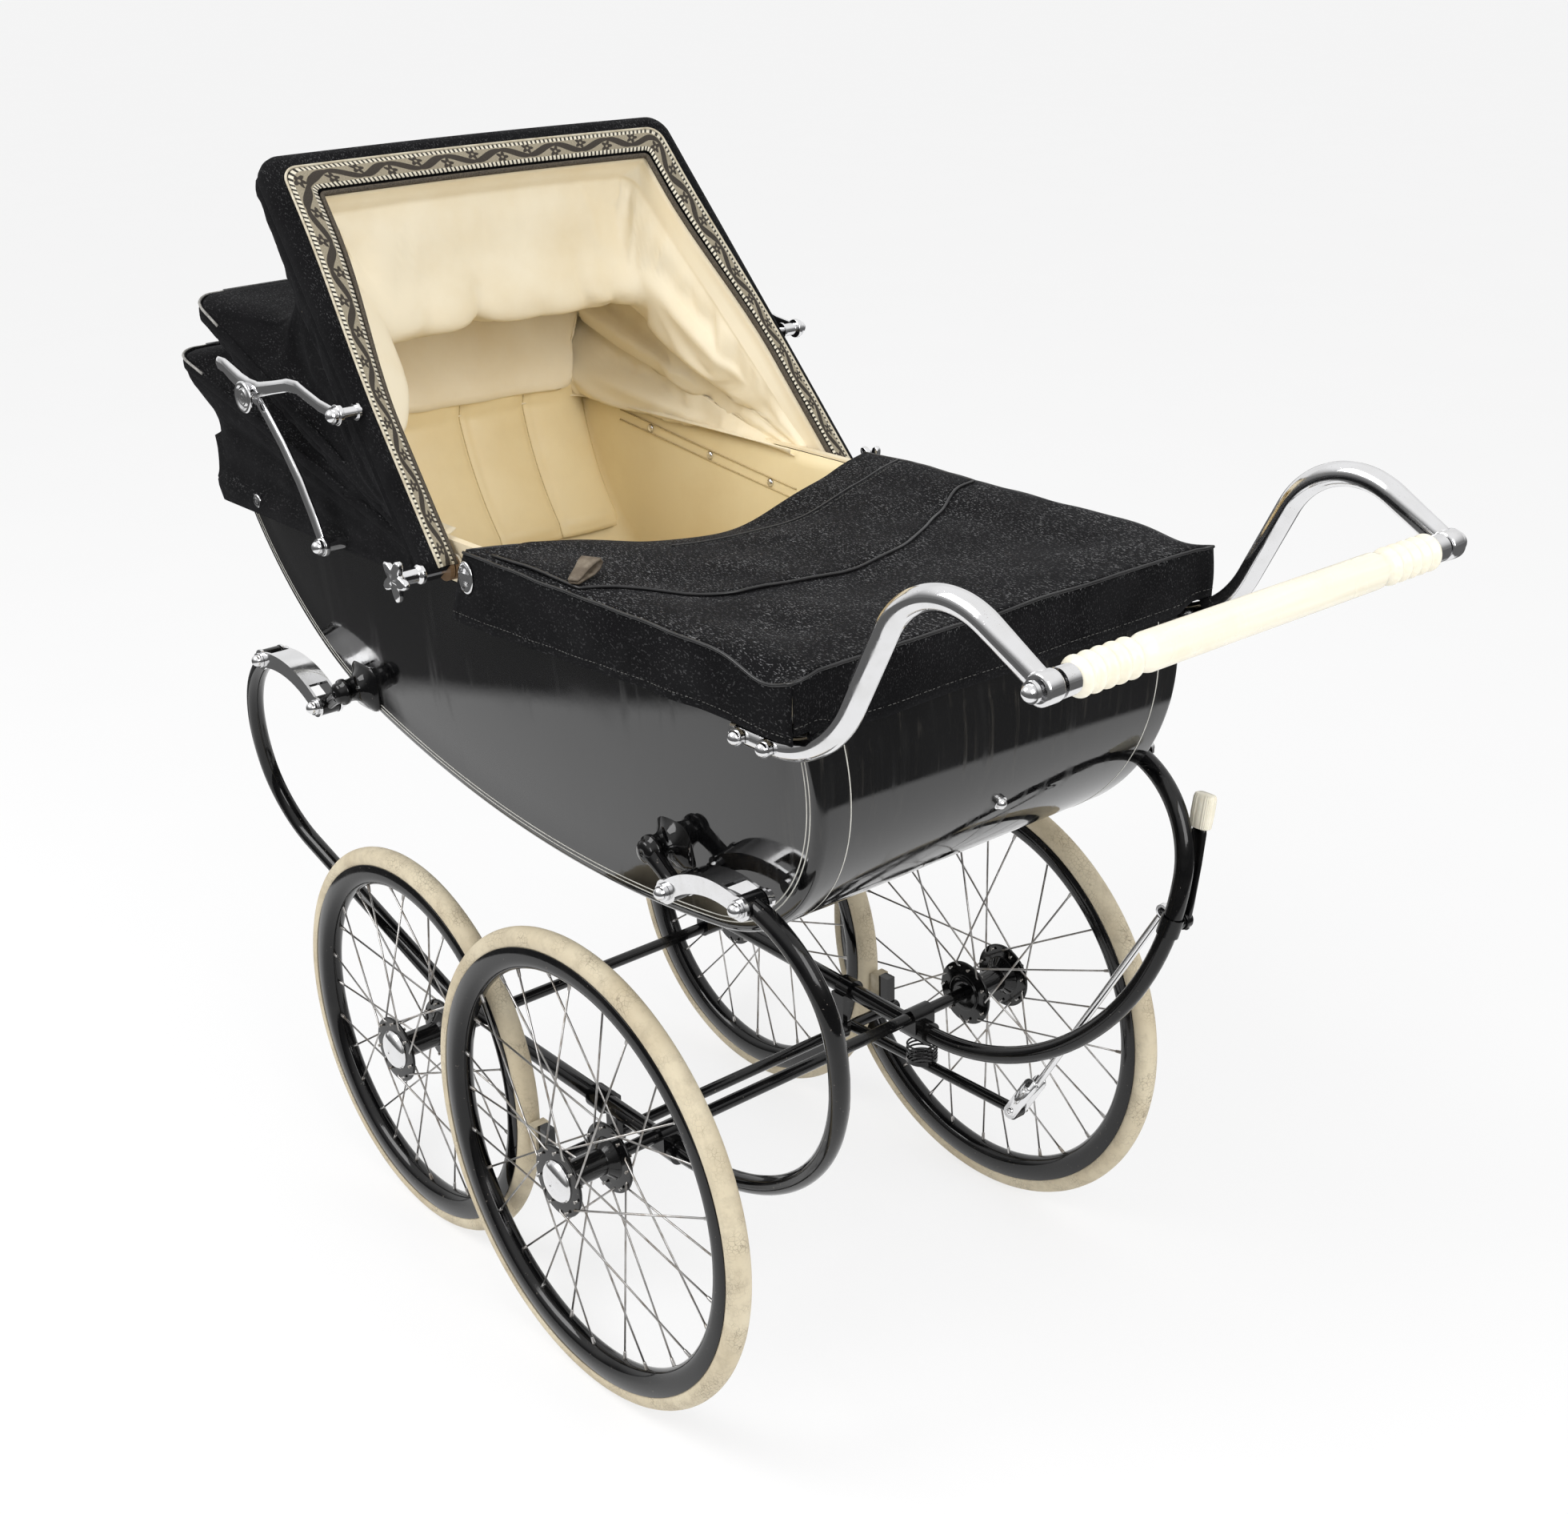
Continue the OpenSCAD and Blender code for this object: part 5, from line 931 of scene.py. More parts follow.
def hand_brake():
    """The flat hand lever with its crank, its fluted cream tip, and the arm's return coil."""
    lever_y = 241.94
    at, crank = (502.30, lever_y, 467.22), (482.30, lever_y, 471.22)
    along = (0, math.sin(LEAN), math.cos(LEAN))
    blade = [(-9.0, 0.05, 0.05), (-9.0, 7.0, 2.4), (-7.5, 8.4, 3.0), (20, 9.2, 3.2), (60, 9.4, 3.4),
             (92, 8.4, 3.4), (97.0, 7.6, 3.0), (98.5, 6.0, 2.6), (98.5, 0.05, 0.05)]
    pin = [(0.01, -9.6), (3.6, -9.6), (4.0, -9.0), (4.0, -3.2), (6.4, -3.0), (6.4, 3.0), (0.01, 3.4)]
    made = Parts().take(*lofted(blade, at, along))
    made.take(*lathe(ring(4.6, 9.8, 4.4, 0.9), at, ACROSS_Y, 32))
    made.take(*tube(between(at, crank, 4), 3.0, 12))
    made.take(*lathe(pin, crank, ACROSS_Y, 24))
    made.piece("brake_lever_visual", ENAMEL, "brake_lever", "black_enamel", "brake_lever")
    tip = [(97.0, 0.05, 0.05), (97.0, 9.8, 6.0), (98.5, 10.8, 6.8), (112, 11.4, 7.4), (128, 11.2, 7.2),
           (131.5, 10.4, 6.4), (132.6, 8.6, 4.8), (132.9, 0.05, 0.05)]
    single(lofted(tip, at, along, 96, 24), "brake_lever_tip", IVORY, "brake_lever", "cream_celluloid",
           "brake_lever_grip")
    x, y, foot, top = 189.3, 182.0, 203.3, 220.3
    turns, coil_r, wire, steps = 3.5, 16.9, 1.15, 120
    path = []
    for i, z in enumerate(evenly(foot, top, steps)):
        a = 2 * math.pi * turns * i / steps
        path.append((x + coil_r * math.cos(a), y + coil_r * math.sin(a), z))
    coil = single(tube(path, wire, 10), "brake_coil", ENAMEL, "chassis", "black_enamel", "brake_spring")
    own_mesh(coil)


clevis()
hand_brake()


# Handle

def handle_arms():
    """Two swan-neck tubes, flattened where the bar is bolted through; gives the place of the bar."""
    line = run_points(ARM_RUN, ARM_START)
    sides, pressed = 28, 6
    plug = [(ARM_R * math.sin(a), 1 - 4 * math.cos(a)) for a in map(math.radians, range(15, 91, 15))]
    plug = [(0.01, -3.0)] + plug + [(0.01, 1.0)]
    made = Parts()
    for k in (-1, 1):
        y = k * ARM_Y
        points, faces = tube([(p[0], y, p[1]) for p in line], ARM_R, sides)
        shaped = []
        for n, p in enumerate(points):
            press = smooth((n // sides - len(line) + pressed + 1) / pressed)
            shaped.append((p.x, y + (p.y - y) * (1 - 0.25 * press), p.z))
        made.take(shaped, faces)
        made.take(*lathe(ring(0.01, 13.0, 9.0, 3.0), (line[-1][0], y, line[-1][1]), ACROSS_Y, 40))
        made.take(*lathe(plug, (line[0][0], y, line[0][1]), (1, 0, 0), 28))
    made.piece("handle_arms_visual", CHROME, "pram_body", "chrome", "handle_arms")
    return line[-1]


def handle_bar(at):
    """The turned bar: a plain middle and five soft beads at each end, between ferrules."""
    low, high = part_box("handle_grip")
    half = (high.y - low.y) / 2 / MM
    beads, pitch, waist, chamfer = 5, 13.5, GRIP_R - 1.6, 1.6
    profile = [(0.01, -half)]
    for y in evenly(-half, half, 640):
        inner = half - abs(y)
        if inner < beads * pitch:
            r = mixed(waist, GRIP_RIB_R + 0.3, 0.5 - 0.5 * math.cos(2 * math.pi * inner / pitch))
        else:
            r = waist + 3.3 * smooth((inner - beads * pitch) / 14)
        profile.append((r - max(0.0, chamfer - inner), y))
    profile.append((0.01, half))
    single(lathe(profile, (at[0], 0, at[1]), ACROSS_Y, 40), "handle_grip_visual", IVORY, "pram_body",
           "cream_celluloid", "handle_grip")


handle_bar(handle_arms())


# Hood stays and screws

def stays():
    """Elbow stays: a cranked upper rod with a finger lever, a lower rod, and a ringed disc at the elbow."""
    low_at, elbow, high_at = (-211.0, 816.0), (-321.31, 955.83), (-139.31, 965.83)
    upper = [(-388, 980, 3.2), (-384, 981, 5.0), (-372, 980, 5.4), (-356, 974, 6.2), (-338, 968, 6.6),
             (-320, 965.5, 6.2), (-300, 966, 5.4), (-268, 973, 4.8), (-236, 980, 4.7), (-216, 980.5, 4.7),
             (-200, 976, 4.7), (-172, 969, 4.6), (-150, 966.5, 4.4), (-141, 966, 4.2)]
    lower = [(-321, 955, 4.2), (-315, 948, 4.6), (-301.5, 936, 4.7), (-276, 911.4, 4.7), (-247, 877.5, 4.8),
             (-228, 848, 4.7), (-217, 828, 4.5), (-211, 816, 4.2)]
    top, wider, flatter = 16.0, 1.5, 0.5
    disc = [(0.01, 3.0), (4.0, 3.0)]
    disc += [(r, top + h) for r, h in ((4.0, -2.6), (15.6, -2.6), (16.8, -1.8), (16.8, 0.0), (15.4, 1.3),
                                       (13.0, 1.1), (11.8, -1.2), (10.0, -1.2), (8.8, 1.2), (6.8, 1.4),
                                       (5.6, -0.6), (3.6, 0.8), (0.01, 1.7))]
    for side, k in SIDES:
        for part, line, out, eyes in (("upper", upper, 295.7, (high_at,)),
                                      ("lower", lower, 288.5, (low_at, elbow))):
            y = k * out
            run = [p for a, b in zip(line, line[1:]) for p in between(a, b, 4)[:-1]] + line[-1:]
            points, faces = tube([(p[0], y, p[1]) for p in run], [p[2] * wider for p in run], 18)
            made = Parts().take([(p.x, y + (p.y - y) * flatter, p.z) for p in points], faces)
            for e in eyes:
                made.take(*lathe(ring(4.6, 10.5, 2.6, 1.1), (e[0], y, e[1]), (0, k, 0), 32))
            if part == "lower":
                made.take(*lathe(disc, (elbow[0], y, elbow[1]), (0, k, 0), 40))
            node = "stay_%s_%s" % (part, side)
            made.piece(node + "_visual", CHROME, node, "chrome", node)


def thumbscrews():
    """Lobed hand screws that clamp the hood's hinges."""
    near, reach, head, lobes, cols = 282.3, 33.0, 6.6, 5, 60
    rings = ((0.0, 0.0, 0.01), (0.0, 0.0, 1.0), (0.6, 0.6, 1.0), (1.0, 1.8, 1.0), (1.0, 4.6, 1.0),
             (0.6, 5.8, 1.0), (0.0, 6.6, 0.86), (0.0, 6.0, 0.5), (0.0, 7.4, 0.3), (0.0, 7.8, 0.01))
    barrel = rounded([(4.4, 0.0), (10.0, 0.0), (10.0, 4.0), (7.6, 7.0), (7.2, reach - 9.0),
                      (9.0, reach - 6.0), (4.4, reach - 6.0)], 0.8)
    for side, k in SIDES:
        made = Parts().take(*lathe(barrel, (HINGE[0], k * near, HINGE[1]), (0, k, 0), 32))
        points = []
        for swell, high, share in rings:
            y = k * (near + reach - head + high)
            for j in range(cols):
                a = 2 * math.pi * j / cols
                r = (15.6 + 5.4 * math.cos(lobes * a + 0.6) + swell) * share
                points.append((HINGE[0] + r * math.cos(a), y, HINGE[1] + r * math.sin(a)))
        made.take(points, grid_faces(len(rings), cols, round_cols=True))
        node = "thumbscrew_" + side
        made.piece(node + "_visual", CHROME, node, "chrome", node)


def hood_snaps():
    """Press studs that hold the hood's rear corners to the body."""
    made = Parts()
    head = [(0.01, 0.0), (7.4, 0.0), (7.6, 4.2), (6.6, 5.2), (5.4, 4.9), (4.6, 4.4), (3.4, 5.4), (0.01, 6.0)]
    for k in (-1, 1):
        made.take(*lathe(head, (-402.0, k * (COVER_Y - 5.0), 821.0), (0, k, 0), 28))
    made.piece("hood_snaps", CHROME, "pram_body", "chrome")


stays()
thumbscrews()
hood_snaps()


# Hood bows

def on_bow(angle, r, y, off=0.0):
    """A point of a bow: r from the hinge along the bow, off square to it towards the front."""
    ux, uz = polar(1.0, angle)
    return (HINGE[0] + ux * r + uz * off, y, HINGE[1] + uz * r - ux * off)


def bow_loop(inner):
    """Places (y, r) round the front bow's band: inner 0 is the outer edge and 1 the inner edge."""
    band = mixed(0.0, 50.0, inner)
    top = FRONT_LEN - band
    turn = max(6.0, BOW_CORNER - band * 0.5)
    leg = []
    for r in evenly(-4.0, top - turn, LEG - 1):
        wide = mixed(30.0, 50.0, smooth((r - 150.0) / 230.0))
        leg.append((mixed(FOOT_OUT, TOP_OUT, r / FRONT_LEN) - wide * inner, r))
    edge = leg[-1][0]
    for a in evenly(0.0, math.pi / 2, TURN)[1:]:
        leg.append((edge - turn * (1 - math.cos(a)), top - turn + turn * math.sin(a)))
    start = leg[-1][0]
    inward = evenly(0.0, 1.0, ACROSS + 1)[1:-1]
    across = [(mixed(-start, start, t), top + 2.0 * math.sin(math.pi * t)) for t in inward]
    return [(-y, r) for y, r in leg] + across + leg[::-1]


def front_bow():
    """The padded front bow, its piping, the woven braid on its face and the cord inside it."""
    outer, inner = bow_loop(0.0), bow_loop(1.0)
    half, count = FRONT_T / 2, len(outer)

    def strip(share, off):
        return [on_bow(FRONT_ANGLE, mixed(r0, r1, share), mixed(y0, y1, share), off)
                for (y0, r0), (y1, r1) in zip(outer, inner)]

    quarter = [(0.5, half), (0.2, half - 0.5), (0.03, half - 5), (0.0, half - 10)]
    side = quarter + [(0.0, 0)] + [(a, -b) for a, b in quarter[::-1]]
    section = side + [(1 - a, b) for a, b in side[-2:0:-1]]
    n = len(section)
    points = [p for places in zip(*(strip(a, b) for a, b in section)) for p in places]
    ends = [tuple(range(n)), tuple(range((count - 1) * n, count * n))]
    faces = grid_faces(count, n, round_cols=True) + ends
    bow = outward(add_mesh("hood_front_bow_visual", points, faces, HOOD_CLOTH, "hood_front"))
    dress(bow, "hood_front_bow")

    span, repeat, wide = 6, 70.0, 0.0235
    braid_from, braid_to = 0.44, 0.96
    rows = [strip(mixed(braid_from, braid_to, t), half + 0.9 + 1.1 * math.sin(math.pi * t))
            for t in evenly(0.0, 1.0, span)]
    lengths = [0.0]
    for p, q in zip(rows[span // 2], rows[span // 2][1:]):
        lengths.append(lengths[-1] + (Vector(q) - Vector(p)).length)
    points = [p for places in zip(*rows) for p in places]
    uv = [(length / repeat, v) for length in lengths for v in evenly(0.0, 1.0, span)]
    braid = add_mesh("hood_braid", points, grid_faces(count, span + 1), BRAID, "hood_front", uv)
    cloth = braid.modifiers.new("cloth", "SOLIDIFY")
    cloth.thickness = 0.0012
    cloth.offset = 0
    dress(braid)

    single(tube(strip(0.40, half + 0.8), 1.4, 10), "hood_piping", CREAM_PIPING, "hood_front", "cream_cloth")
    single(tube(strip(1.06, half - 1.6), 2.9, 10), "hood_inner_cord", CORD, "hood_front", "padded_bow")


front_bow()


# Cloth

def loop_shares():
    """Share of the bow's length and of its half-width for each place round a loop of hood cloth."""
    bend, edge, crown = 0.94, 0.9, 0.008
    leg = [(bend * i / (LEG - 1), 1.0) for i in range(LEG)]
    for i in range(1, TURN + 1):
        a = math.pi / 2 * i / TURN
        leg.append((bend + (1 - bend) * math.sin(a), edge + (1 - edge) * math.cos(a)))
    across = [(1 + crown * (1 - (y / edge) ** 2), y) for y in evenly(-edge, edge, ACROSS + 1)]
    return [(r, -y) for r, y in leg] + across[1:-1] + leg[::-1]


def thick_sheet(rows, thick, spread=0):
    """A cloth of even thickness through rows of points; spread evens out its facing over tight creases."""
    n, m = len(rows), len(rows[0])
    grid = [[Vector(p) for p in row] for row in rows]
    facing = []
    for i in range(n):
        line = []
        for j in range(m):
            a = grid[min(i + 1, n - 1)][j] - grid[max(i - 1, 0)][j]
            b = grid[i][min(j + 1, m - 1)] - grid[i][max(j - 1, 0)]
            line.append(a.cross(b))
        facing.append(line)
    top, under = [], []
    for i in range(n):
        for j in range(m):
            face = Vector((0, 0, 0))
            for line in facing[max(i - spread, 0):i + spread + 1]:
                for near in line[max(j - spread, 0):j + spread + 1]:
                    face += near
            face = face.normalized() if face.length > 1e-9 else Vector((0, 0, 1))
            top.append(grid[i][j] + face * thick / 2)
            under.append(grid[i][j] - face * thick / 2)
    q = n * m
    faces = grid_faces(n, m) + [tuple(reversed(f)) for f in grid_faces(n, m, start=q)]
    for i in range(n - 1):
        a, b = i * m, i * m + m - 1
        faces += [(a, a + m, q + a + m, q + a), (b + m, b, q + b, q + b + m)]
    for j in range(m - 1):
        a, b = j, (n - 1) * m + j
        faces += [(a + 1, a, q + a, q + a + 1), (b, b + 1, q + b + 1, q + b)]
    return top + under, faces


def hood_rows(first, last, count, taut, dip, folds, pleats, pleat_depth, seed, drop=0.0, creases=()):
    """Rows of cloth between two bows: a hollow, sides drawn in, pleats fanning from the hinge, creases."""
    start = first[5]
    grain, heave = 0.012, 7.0
    rows = []
    for t in evenly(0.0, 1.0, count):
        angle, back, length, foot, top = (mixed(first[n], last[n], t) for n in range(5))
        free = min(1.0, max(0.0, (t - taut) / (1 - 2 * taut)))
        arch = math.sin(math.pi * free)
        ux, uz = polar(1.0, angle)
        row = []
        for share, y in loop_shares():
            r = start + (length - dip * arch - start) * share
            steep = abs(y) ** 6
            flat = 1 - steep
            for y0, wide, deep, from_t, to_t in creases:
                run = smooth((t - from_t) / 0.15) * smooth((to_t - t) / 0.15)
                r += deep * math.exp(-abs(y - y0) / wide) * run * flat
            fold = folds[0] if y < 0 else folds[1]
            draw = fold * math.sin(math.pi * free ** 0.8) * smooth((share - 0.15) / 0.6)
            wave = pleat_depth * (0.5 - 0.5 * math.cos(2 * math.pi * pleats * free)) * smooth(share * 1.6)
            half = mixed(foot, top, share) - draw - wave
            p = Vector((HINGE[0] + ux * r - uz * back, half * y, HINGE[1] + uz * r + ux * back))
            ripple = uneven(p.x * grain, p.y * grain + seed, p.z * grain) * heave * arch
            inward = -1 if y > 0 else 1
            p += Vector((ux, 0, uz)) * ripple * flat + Vector((0, inward, 0)) * abs(ripple) * steep
            p += Vector((0.45, 0, -1.0)) * drop * arch * (1 - abs(y) ** 40)
            row.append(tuple(p))
        rows.append(row)
    return rows


def settled(rows, held, slack, cap):
    """Rows of a cloth after it has hung from its held places, with some slack woven in."""
    frames, ease, side_ease = 22, 4, 14
    cols = len(rows[0])
    piece = add_mesh("settling", [p for row in rows for p in row], grid_faces(len(rows), cols), HOOD_LINING)
    group = piece.vertex_groups.new(name="held")
    group.add([i * cols + j for i in range(len(rows)) for j in range(cols) if held(i, j)], 1.0, "REPLACE")
    hang = piece.modifiers.new("hang", "CLOTH")
    for key, value in (("quality", 6), ("mass", 0.2), ("tension_stiffness", 12),
                       ("compression_stiffness", 8), ("shear_stiffness", 4),
                       ("bending_stiffness", 0.25), ("air_damping", 2.0), ("shrink_min", -slack),
                       ("vertex_group_mass", "held")):
        setattr(hang.settings, key, value)
    hang.point_cache.frame_start = 1
    hang.point_cache.frame_end = frames
    scene = bpy.context.scene
    for n in range(1, frames + 1):
        scene.frame_set(n)
    done = piece.evaluated_get(bpy.context.evaluated_depsgraph_get()).data
    made = []
    for i, row in enumerate(rows):
        line = []
        for j, p in enumerate(row):
            at = done.vertices[i * cols + j].co
            move = Vector(((at.x - MID_X) / MM, at.y / MM, at.z / MM)) - Vector(p)
            if move.length > cap:
                move *= cap / move.length
            hold = smooth(min(i, len(rows) - 1 - i) / ease) * smooth(min(j, cols - 1 - j) / side_ease)
            line.append(tuple(Vector(p) + move * hold))
        made.append(line)
    scene.frame_set(1)
    bpy.data.objects.remove(piece)
    return made


# For each bow: angle, offset behind it, length, half-width at the foot and at the top, start from the hinge
FRONT_OFF = FRONT_T / 2 + 0.3
START = 46.0
LINING_START = START * 1.2
CREASE_SPREAD = 2
COVER_ROWS = {
    "front": (FRONT_ANGLE, FRONT_OFF - 4.0, FRONT_LEN - 1.0, FOOT_OUT - 1.0, TOP_OUT - 1.0, START),
    "mid": (MID_ANGLE, 0.0, MID_LEN + 4.0, COVER_Y, COVER_Y, START),
    "rear": (REAR_ANGLE, 0.0, REAR_LEN + 4.0, COVER_Y, COVER_Y, START),
    "edge": (180.0, 20.0, 478.0, COVER_Y, COVER_Y - 3.0, START),
}
LINING_ROWS = {
    "front": (FRONT_ANGLE, FRONT_OFF + 2.0, FRONT_LEN - 56.0, 248.0, 203.0, LINING_START),
    "mid": (MID_ANGLE, 0.0, MID_LEN - 9.0, LINING_Y, LINING_Y, LINING_START),
    "rear": (REAR_ANGLE, 0.0, REAR_LEN - 9.0, LINING_Y, LINING_Y, LINING_START),
    "edge": (180.0, -26.0, 444.0, LINING_Y - 18.0, LINING_Y - 24.0, LINING_START),
}
SEGMENTS = (("front", "mid", "hood_mid", "hood_front"), ("mid", "rear", "hood_rear", "hood_mid"),
            ("rear", "edge", "pram_body", "hood_rear"))
PANEL_ROWS = {"front": 34, "mid": 18, "rear": 20}
PANEL_TAUT = {"front": 0.07, "mid": 0.2, "rear": 0.13}
PANEL_CAP = {"front": 8.0, "mid": 8.0, "rear": 3.0}

# Hollow, draw of each side, pleats and their depth, then drop and creases (place, width, depth, from, to)
COVER_SHAPES = {"front": (126.0, (18.0, 18.0), 2, 11.0), "mid": (30.0, (24.0, 24.0), 1, 9.0),
                "rear": (26.0, (7.0, 7.0), 2, 5.5)}
LINING_CREASES = ((-0.14, 0.10, 20.0, 0.2, 0.75), (0.62, 0.05, 16.0, 0.12, 0.6),
                  (0.82, 0.04, 12.0, 0.05, 0.7), (-0.6, 0.07, 9.0, 0.1, 0.6), (0.3, 0.12, 7.0, 0.3, 0.7))
LINING_SHAPES = {"front": (150.0, (66.0, 30.0), 2, 10.0, 0.0, LINING_CREASES),
                 "mid": (40.0, (30.0, 24.0), 1, 6.0, 98.0, ((-0.3, 0.1, 9.0, 0.2, 0.8),)),
                 "rear": (40.0, (30.0, 30.0), 0, 0.0)}


def from_hinge(p):
    return math.hypot(p[0] - HINGE[0], p[2] - HINGE[1])


def line_inside(piece, rows, points, material):
    """Gives a cover its pale inner face, which stays black where tight creases make the two faces cross."""
    piece.data.materials.append(material)
    across = len(rows[0]) - 1
    count = (len(rows) - 1) * across
    half = len(points) // 2
    far = [from_hinge(p) for p in points]
    first = 0 if sum(far[:half]) < sum(far[half:]) else count
    polygons = piece.data.polygons
    places = [v.co for v in piece.data.vertices]
    inner, outer = (BVHTree.FromPolygons(places, [tuple(f.vertices) for f in polygons[k:k + count]])
                    for k in (first, count - first))
    creased = {pair[0] for pair in inner.overlap(outer)}
    for i, face in enumerate(polygons[first:first + count]):
        around = {i + a * across + b for a in (-1, 0, 1) for b in (-1, 0, 1)}
        face.material_index = 0 if around & creased else 1


def hood_segment(name, rows, material, node, segment, thick, inside=None):
    """One cloth panel between two bows."""
    a, b, before, after = segment
    points, faces = thick_sheet(rows, thick, CREASE_SPREAD)
    piece = outward(add_mesh(name + a, points, faces, material))
    if inside:
        line_inside(piece, rows, points, inside)
    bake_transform(piece)
    dress(piece, node)


def panel(a, b, ends, shape, seed, slack, cap):
    """Rows of the cloth between two bows, after it has settled."""
    rows = hood_rows(ends[a], ends[b], PANEL_ROWS[a], PANEL_TAUT[a], *shape[:4], seed, *shape[4:])
    last, edge = len(rows) - 1, len(rows[0]) - 1
    return settled(rows, lambda i, j: i in (0, last) or j in (0, edge), slack, cap)


def under(p, q, gap=6.0):
    """A lining point held inside the cover's point at the same place."""
    x, y, z = p
    y = math.copysign(min(abs(y), abs(q[1]) - gap), y) if abs(q[1]) > 60 else y
    share = (from_hinge(q) - gap) / from_hinge(p)
    if share < 1:
        x, z = mixed(HINGE[0], x, share), mixed(HINGE[1], z, share)
    return (x, y, z)


def over_rim(p):
    """A cover point held outside the body's rim edging."""
    x, y, z = p
    if z < 878.0 and abs(y) > 200.0:
        y = math.copysign(max(abs(y), 250.0), y)
    return (x, y, z)


def hem(inner, offs):
    """Rows of cloth turned in along the front bow."""
    return [[on_bow(FRONT_ANGLE, r, y, off) for y, r in bow_loop(inner)] for off in offs]


def hood_cloth():
    """The black cover and the cream lining under it, each in three panels from bow to bow."""
    for n, segment in enumerate(SEGMENTS):
        a, b = segment[:2]
        cover = panel(a, b, COVER_ROWS, COVER_SHAPES[a], 3.0 * n, 0.02, PANEL_CAP[a])
        cover = [[over_rim(p) for p in row] for row in cover]
        tuck = hem(0.04, (4.0, -6.0)) if a == "front" else []
        hood_segment("hood_cover_", tuck + cover, HOOD_CLOTH, "hood_cover", segment, 1.2,
                     HOOD_LINING)
        rows = panel(a, b, LINING_ROWS, LINING_SHAPES[a], 20.0 + 3.0 * n, 0.04, 16.0)
        rows = [[under(p, q) for p, q in zip(*pair)] for pair in zip(rows, cover)]
        if a == "front":
            rows = hem(1.05, (9.0, 0.0, -10.0)) + rows
        if a == "rear":
            rows.append([(p[0] + 6.0, p[1] * 237.0 / LINING_Y, RIM_Z + TRIM_T + 1.2) for p in rows[-1]])
        hood_segment("hood_lining_", rows, HOOD_LINING, "hood_lining", segment, 1.4)


def bow_sleeves():
    """Cloth sleeves over the two rear bows, with a worn welt and piping worn pale at the corners."""
    width, lift, y = 7.5, 1.6, COVER_Y
    section = [(-width, 0.0), (-width * 0.7, lift), (0, lift * 1.5), (width * 0.7, lift), (width, 0.0),
               (0, -0.6)]
    n = len(section)
    for name, angle, length in (("mid", MID_ANGLE, MID_LEN + 4.0), ("rear", REAR_ANGLE, REAR_LEN + 4.0)):
        body = "hood_" + name
        loop = [(START + (length - START) * r, y * s) for r, s in loop_shares()]
        points = []
        for i, (r, side) in enumerate(loop):
            before, after = loop[max(i - 1, 0)], loop[min(i + 1, len(loop) - 1)]
            along = Vector((after[0] - before[0], after[1] - before[1])).normalized()
            out = Vector((-along.y, along.x))
            on_leg = abs(side) > y * 0.95
            if (out.y * side if on_leg else out.x) < 0:
                out = -out
            for off, up in section:
                points.append(on_bow(angle, r + out.x * up, side + out.y * up, off))
        ends = [tuple(range(n)), tuple(range(len(points) - n, len(points)))]
        faces = grid_faces(len(loop), n, round_cols=True) + ends
        dress(outward(add_mesh("hood_sleeve_" + name, points, faces, HOOD_CLOTH, body)))
        worn = Parts()
        for part in (loop[LEG - 4:LEG + TURN + 2], loop[-LEG - TURN - 2:4 - LEG]):
            path = [on_bow(angle, r + (1.8 if abs(s) < y * 0.99 else 0.0), s * 1.006, 6.0) for r, s in part]
            worn.take(*tube(path, 1.5, 8))
        worn.piece("hood_corner_piping_" + name, THREAD, body, "black_cloth")
        path = [on_bow(angle, r + 2.0, s, 7.0) for r, s in loop[LEG + TURN:-LEG - TURN]]
        single(tube(path, 1.7, 8), "hood_welt_" + name, WELT, body, "black_cloth")


hood_cloth()
bow_sleeves()


# Apron

def corner_dip(x, y):
    """How far the apron's edge has sunk outside the rim near its handle-end corners."""
    deep = 14.0 if y < 0 else 8.0
    return deep * math.exp(-((x - 462.0) / 36.0) ** 2) * smooth((abs(y) - 238.0) / 20.0)


def apron_at(x_share, y_share, lift=0.0):
    """A point on the top of the apron, from its scooped front edge to the handle end."""
    scoop = math.cos(math.pi / 2 * y_share)
    x = mixed(APRON_FRONT + APRON_SCOOP * scoop, APRON_END, x_share)
    y = y_share * SKIRT_Y
    free = smooth((0.9 - abs(y_share)) / 0.25) * smooth((APRON_END - 34.0 - x) / 70.0)
    sag = APRON_SAG * scoop ** 3 * (1 - x_share) ** 3
    slack = 8.0 * math.sin(math.pi * min(1.0, x_share)) * free
    ripple = uneven(x * 0.011, y_share * 3.0, 4.0) * 5.0 * free
    return Vector((x, y, APRON_EDGE + 0.8 - sag - slack + ripple + lift - corner_dip(x, y)))


def hem_at(x):
    """Height of the side skirt's lower edge."""
    return mixed(SKIRT_LOW, SKIRT_FOOT, smooth(x / 400.0))


def apron_top():
    """Rows over the apron from one side skirt's hem to the other's."""
    cols = evenly(-0.992, 0.992, 60)
    rows = []
    for t in evenly(0.0, 1.0, 72):
        near, far = [], []
        for v in evenly(0.0, 1.0, 10):
            x = mixed(mixed(SKIRT_FRONT, APRON_FRONT, v), APRON_END, t)
            near_button = smooth((abs(x - BUTTON_AT[0]) - 14.0) / 40.0)
            lump = 4.2 * uneven(t * 8, v * 1.6, 1.0) * (1.15 - v) * near_button
            out = 2.0 * math.sin(math.pi * v) + max(-1.0, lump) + 1.2 * (1 - v) ** 8
            dip = corner_dip(x, -SKIRT_Y)
            z = mixed(hem_at(x), APRON_EDGE - 1.5 - dip, v)
            near.append((x, -SKIRT_Y - out, z))
            far.append((x, SKIRT_Y + out, z + dip * v * 0.4))
        rows.append(near + [tuple(apron_at(t, y)) for y in cols] + far[::-1])
    return rows


